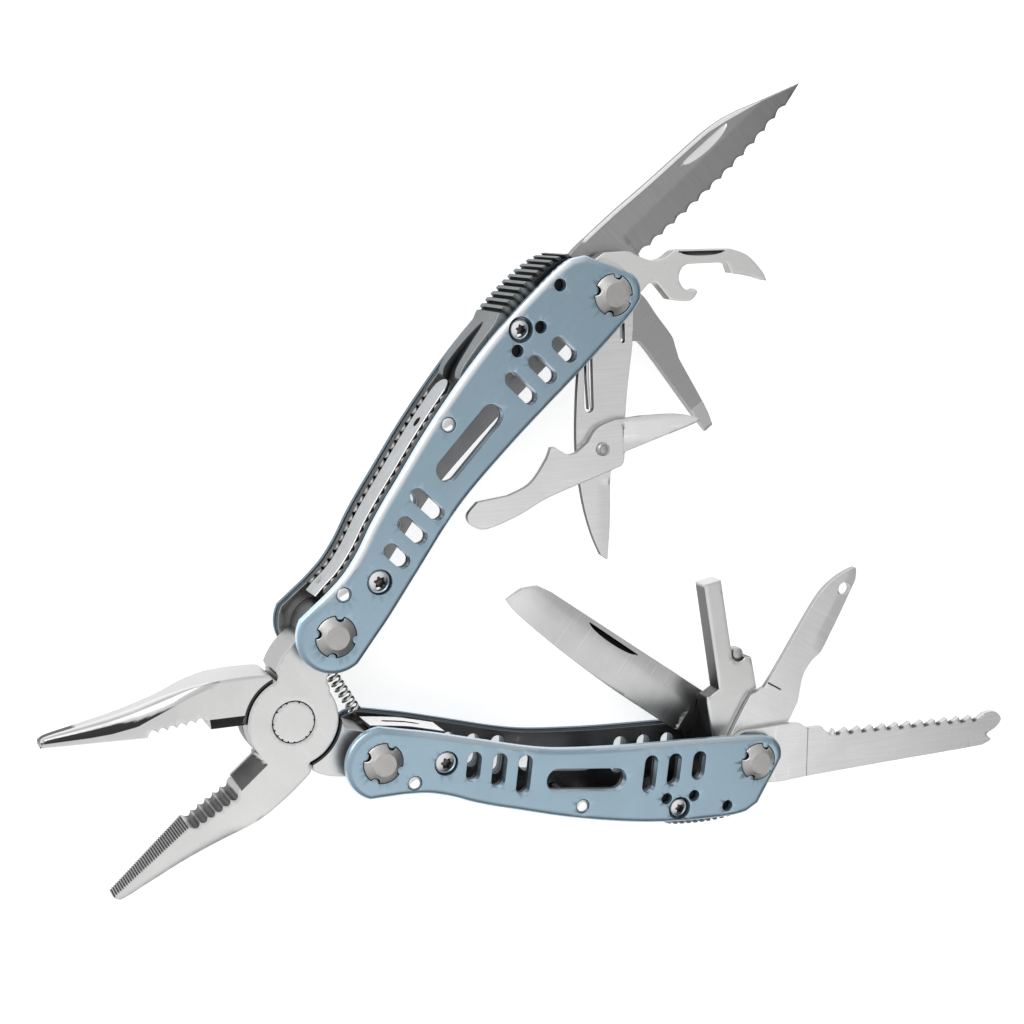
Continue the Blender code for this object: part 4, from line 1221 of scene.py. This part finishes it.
def saw_blade(tools):
    top = smooth([(3.0, 6.4), (8.5, 6.5), (12.0, 6.3), (13.8, 5.1), (17.5, 4.9), (18.3, 4.1),
                  (20.3, 2.8)], 4)
    teeth = toothed([(20.9, 3.9), (61.2, 2.3)], 12, -1.5, 0.25)
    tip = smooth([(61.4, 2.6), (64.5, 2.7), (66.5, 0.8), (65.3, -1.1), (62.7, -2.5),
                  (63.9, -4.0), (61.5, -5.0)])
    under = smooth([(61.5, -5.0), (54.0, -5.2), (29.0, -5.7), (14.0, -6.1), (8.0, -6.4),
                    (4.0, -6.2)], 4)[1:]

    first, last, pitch = 20.9, 61.2, 3.36

    def set_teeth(x, y, near):
        """Each tooth is filed to a slope, every second one from this side."""
        over = y - (4.55 - 0.04 * x)
        phase = np.floor((x - first) / pitch)
        filed = (x > first) & (x < last + 0.1) & (over > 0) & (np.mod(phase, 2) == 0)
        return np.where(filed, np.clip(over - 0.2, 0, 1) * 0.45, 0)

    def in_groove(x):
        """The fine line across the root."""
        return np.abs(x - 14.2) < 0.11

    def grooved(x, y, near):
        return np.where(in_groove(x), 0.08, 0)

    def shade(x, y, near):
        """Painted shade in the gullets, on the sides and in the line across the root."""
        foot = 3.0 - 0.0397 * (x - first)
        gullet = (x > first) & (x < last) & (y < foot) & (y > 0)
        shade_line = np.where(in_groove(x), 0.6, 0)
        return np.where(gullet & (near < 0.13), 0.95, np.where(near < 0.02, 0.4, shade_line))

    marks = [line((u, -5.8), (u, 4.8)) for u in (14.05, 14.13, 14.27, 14.35)]
    tool("saw_blade", base(-80, -255) + top + teeth + tip + under, tools, "brushed",
         top=summed(set_teeth, grooved), creases=marks, shade=shade, grid=0.6)


def awl(tools):
    top = smooth([(2.0, 6.4), (11.1, 6.4), (12.9, 5.6), (14.4, 4.6), (16.4, 4.0), (29.9, 3.2)], 5)
    tip = smooth([(29.9, 3.2), (37.9, 2.5), (42.9, 0.7), (46.7, -2.1), (46.9, -3.2),
                  (44.9, -4.3)])[1:]
    under = smooth([(44.9, -4.3), (36.0, -4.75), (27.9, -4.8), (24.9, -3.7), (21.0, -3.4),
                    (16.9, -4.8), (15.4, -5.3)])[1:]

    def in_step(x, y):
        return (x > 15.9) & (x < 16.2) & (y > -0.2)

    def ground(x, y, near):
        """The step at the shoulder, and the point ground to a low ridge."""
        step = np.where(in_step(x, y), 0.25, 0)
        ridge = np.where(x > 27, np.clip(-1.9 - y, 0, 3) * 0.05 * np.clip((x - 27) / 4, 0, 1), 0)
        return step + ridge

    marks = [line((u, -0.2), (u, 4.1), 0.4) for u in (15.86, 15.94, 16.16, 16.24)]
    marks.append(smooth([(25.0, -1.7), (36.0, -1.9), (46.0, -1.9)], 14))
    # Painted shade on the sides and in the step at the shoulder.
    step_shade = walls(0.55, lambda x, y, near: np.where(in_step(x, y), 0.9, 0))
    tool("awl", base(-75, -260) + top + tip + under + [(8.0, -5.6)], tools, "ground",
         holes=[circle((41.9, -2.6), 1.35, 32)], top=ground, creases=marks, grid=0.6,
         shade=step_shade)


def bit_arm(tools):
    detent = (22.5, -2.1)
    notch = arc(detent, 1.65, 100, 230, 16)
    top = smooth([(3.0, 6.8), (14.1, 7.1), (15.2, 6.0), (16.1, 3.8)], 4) + [(39.8, 3.8)]
    outline = base(-100, -270) + top + [(39.8, -0.3)] + notch + [(21.0, -5.0), (6.0, -5.6)]

    def shade(x, y, near):
        """Painted shade on the sides, lighter on the end face."""
        return np.where(near < 0.02, np.where(x > 39.7, 0.15, 0.85), 0)

    tool("bit_arm", outline, tools, "steel", top_edge=(0.3, 0.3), back_edge=(0.3, 0.3), grid=0.9,
         shade=shade)
    high = LAYER["bit_arm"][1] - 0.4
    mesh = spun([(0, high), (0.7, high - 0.02), (1.1, high - 0.14), (1.35, high - 0.4), (1.35, 0.3),
                 (0, 0.3)], 32)
    spot = own_frame("bit_arm", tools) @ placed(detent)
    piece("bit_arm_pin", [mesh], spot, FINISH["bolt"], 50)


def plain_blade(tools):
    spine = [(60.0, -6.6), (57.8, -6.9)] + line((57.0, -7.0), (13.0, -7.0), 4) + [(6.0, -6.6)]
    point = smooth([(62.9, -4.3), (64.8, -0.7)])
    edge = smooth([(64.8, -0.7), (60.8, 0.5), (49.8, 1.9), (39.8, 2.7), (29.8, 3.2), (13.5, 3.4)])
    outline = base(250, 60) + [(8.0, 4.6), (12.0, 2.6)] + edge[::-1][:-1] + point[::-1] + spine
    nick, marks, nick_shade = chord_nick((31.8, -5.9), (45.5, -6.1), (38.6, -4.8), 0.5, 0.85)

    edge_at = height_of(edge[::-1])

    def ground(x, y, near):
        """The taper to the edge starts at a line that falls away from the ricasso."""
        start = -2.7 - 2.3 * (x - 14) / 41
        t = np.clip((y - start) / np.maximum(edge_at(x) - start, 0.3), 0, 1)
        return np.where(x > 13.4, t, 0) * 0.6

    creases = marks + [line((13.4, -2.7), (55.0, -5.0)), line((13.4, -2.7), (13.4, 3.3)),
                       line((13.2, -2.7), (13.2, 3.3))]

    def light_and_tone(x, y, near):
        """Painted shade in the nick and at the root next to the handle, darker towards the back, and
        lighter on the last of the point.
        """
        return (nick_shade(x, y, near) + 0.8 * np.clip((21 - x) / 11, 0, 1)
                + 0.22 * np.clip((-2 - y) / 4, 0, 1) - 0.35 * np.clip((x - 55) / 7, 0, 1))

    tool("plain_blade", outline, tools, "blade", top=summed(ground, nick), back=ground,
         creases=creases, grid=0.6, shade=walls(0.4, light_and_tone))


# ---------------- the object

jaw("front", 1, "upper_handle_pivot", "jaw_front")
jaw("rear", -1, "lower_handle_pivot", "jaw_rear")
rivet()
return_spring()
upper_tools = handle("upper", 1)
lower_tools = handle("lower", -1)
washer("upper_far_washer_1", -1.0, -0.1, 5.0, upper_tools)
washer("upper_far_washer_2", -5.9, -5.0, 5.0, upper_tools)
washer("lower_far_washer_1", -4.2, -1.6, 5.0, lower_tools)
for build in (serrated_blade, can_opener, screwdriver, scissors):
    build(upper_tools)
for build in (saw_blade, awl, bit_arm, plain_blade):
    build(lower_tools)


# ---------------- floor, light and camera

def floor():
    """A broad pale floor that stays almost white under the soft light."""
    mesh = bpy.data.meshes.new("floor")
    half, depth = 3.0, CAD_BOX[0].z - 0.0002
    mesh.from_pydata([(-half, -half, depth), (half, -half, depth), (half, half, depth),
                      (-half, half, depth)], [], [(0, 1, 2, 3)])
    made = new_object("floor", mesh)
    paint = bpy.data.materials.new("floor")
    paint.use_nodes = True
    shader = paint.node_tree.nodes["Principled BSDF"]
    for key, value in (("Base Color", (0.86, 0.86, 0.86, 1)), ("Roughness", 0.9),
                       ("Emission Color", (1, 1, 1, 1)), ("Emission Strength", 0.60)):
        shader.inputs[key].default_value = value
    mesh.materials.append(paint)


def world():
    """Soft grey surroundings, lighter to the upper left of the picture, on an even pale backdrop."""
    made = bpy.data.worlds.new("studio")
    bpy.context.scene.world = made
    made.use_nodes = True
    tree = made.node_tree
    way = add_node(tree, "ShaderNodeTexCoord").outputs["Generated"]
    share = add_node(tree, "ShaderNodeVectorMath", {0: way, 1: Vector(LIT_SIDE).normalized()},
                     operation="DOT_PRODUCT")
    half = add_node(tree, "ShaderNodeMath", {0: share.outputs["Value"], 1: 0.5, 2: 0.5},
                    operation="MULTIPLY_ADD")
    ramp = add_node(tree, "ShaderNodeValToRGB", {"Fac": half.outputs[0]})
    tones = [(0.0, 0.02), (0.25, 0.10), (0.42, 0.40), (0.52, 0.55), (0.7, 0.72), (0.86, 0.8),
             (1.0, 0.85)]
    stops = ramp.color_ramp.elements
    for k, (position, tone) in enumerate(tones):
        stop = stops[0] if k == 0 else stops.new(position) if k < len(tones) - 1 else stops[-1]
        stop.position, stop.color = position, (tone, tone, tone * 1.01, 1)
    seen = add_node(tree, "ShaderNodeLightPath").outputs["Is Camera Ray"]
    shown = mixed(tree, seen, ramp.outputs["Color"], (0.93, 0.93, 0.93, 1))
    tree.links.new(shown, tree.nodes["Background"].inputs["Color"])


def area_light(name, place, size, power):
    """A rectangular light that faces the object."""
    lamp = bpy.data.lights.new(name, "AREA")
    lamp.shape = "RECTANGLE"
    lamp.size, lamp.size_y = size
    lamp.energy = power
    made = new_object(name, lamp)
    made.location = place
    made.rotation_euler = (-Vector(place)).to_track_quat("-Z", "Y").to_euler()


def camera():
    """Above the pliers head and a little to the left, looking across to the tool ends."""
    lens = bpy.data.cameras.new("camera")
    lens.sensor_width, lens.lens = 36.0, LENS
    lens.shift_x, lens.shift_y = LENS_SHIFT
    lens.clip_start, lens.clip_end = 0.01, 10
    made = new_object("camera", lens)
    head = Vector((*JOINTS["pliers_pivot"]["pos_m"][:2], 0))
    place, aim = head + Vector(CAMERA_PLACE), head + Vector(CAMERA_AIM)
    back = (place - aim).normalized()
    right = Vector((0, 1, 0)).cross(back).normalized()
    up = back.cross(right)
    made.matrix_world = Matrix.Translation(place) @ Matrix((right, up, back)).transposed().to_4x4()
    bpy.context.scene.camera = made


floor()
world()
area_light("key", (-0.70, 0.68, 0.28), (0.9, 0.4), 4.5)
area_light("fill", (0.30, -0.60, 0.95), (0.9, 0.7), 1.4)
camera()
bpy.context.scene.view_settings.view_transform = "Standard"
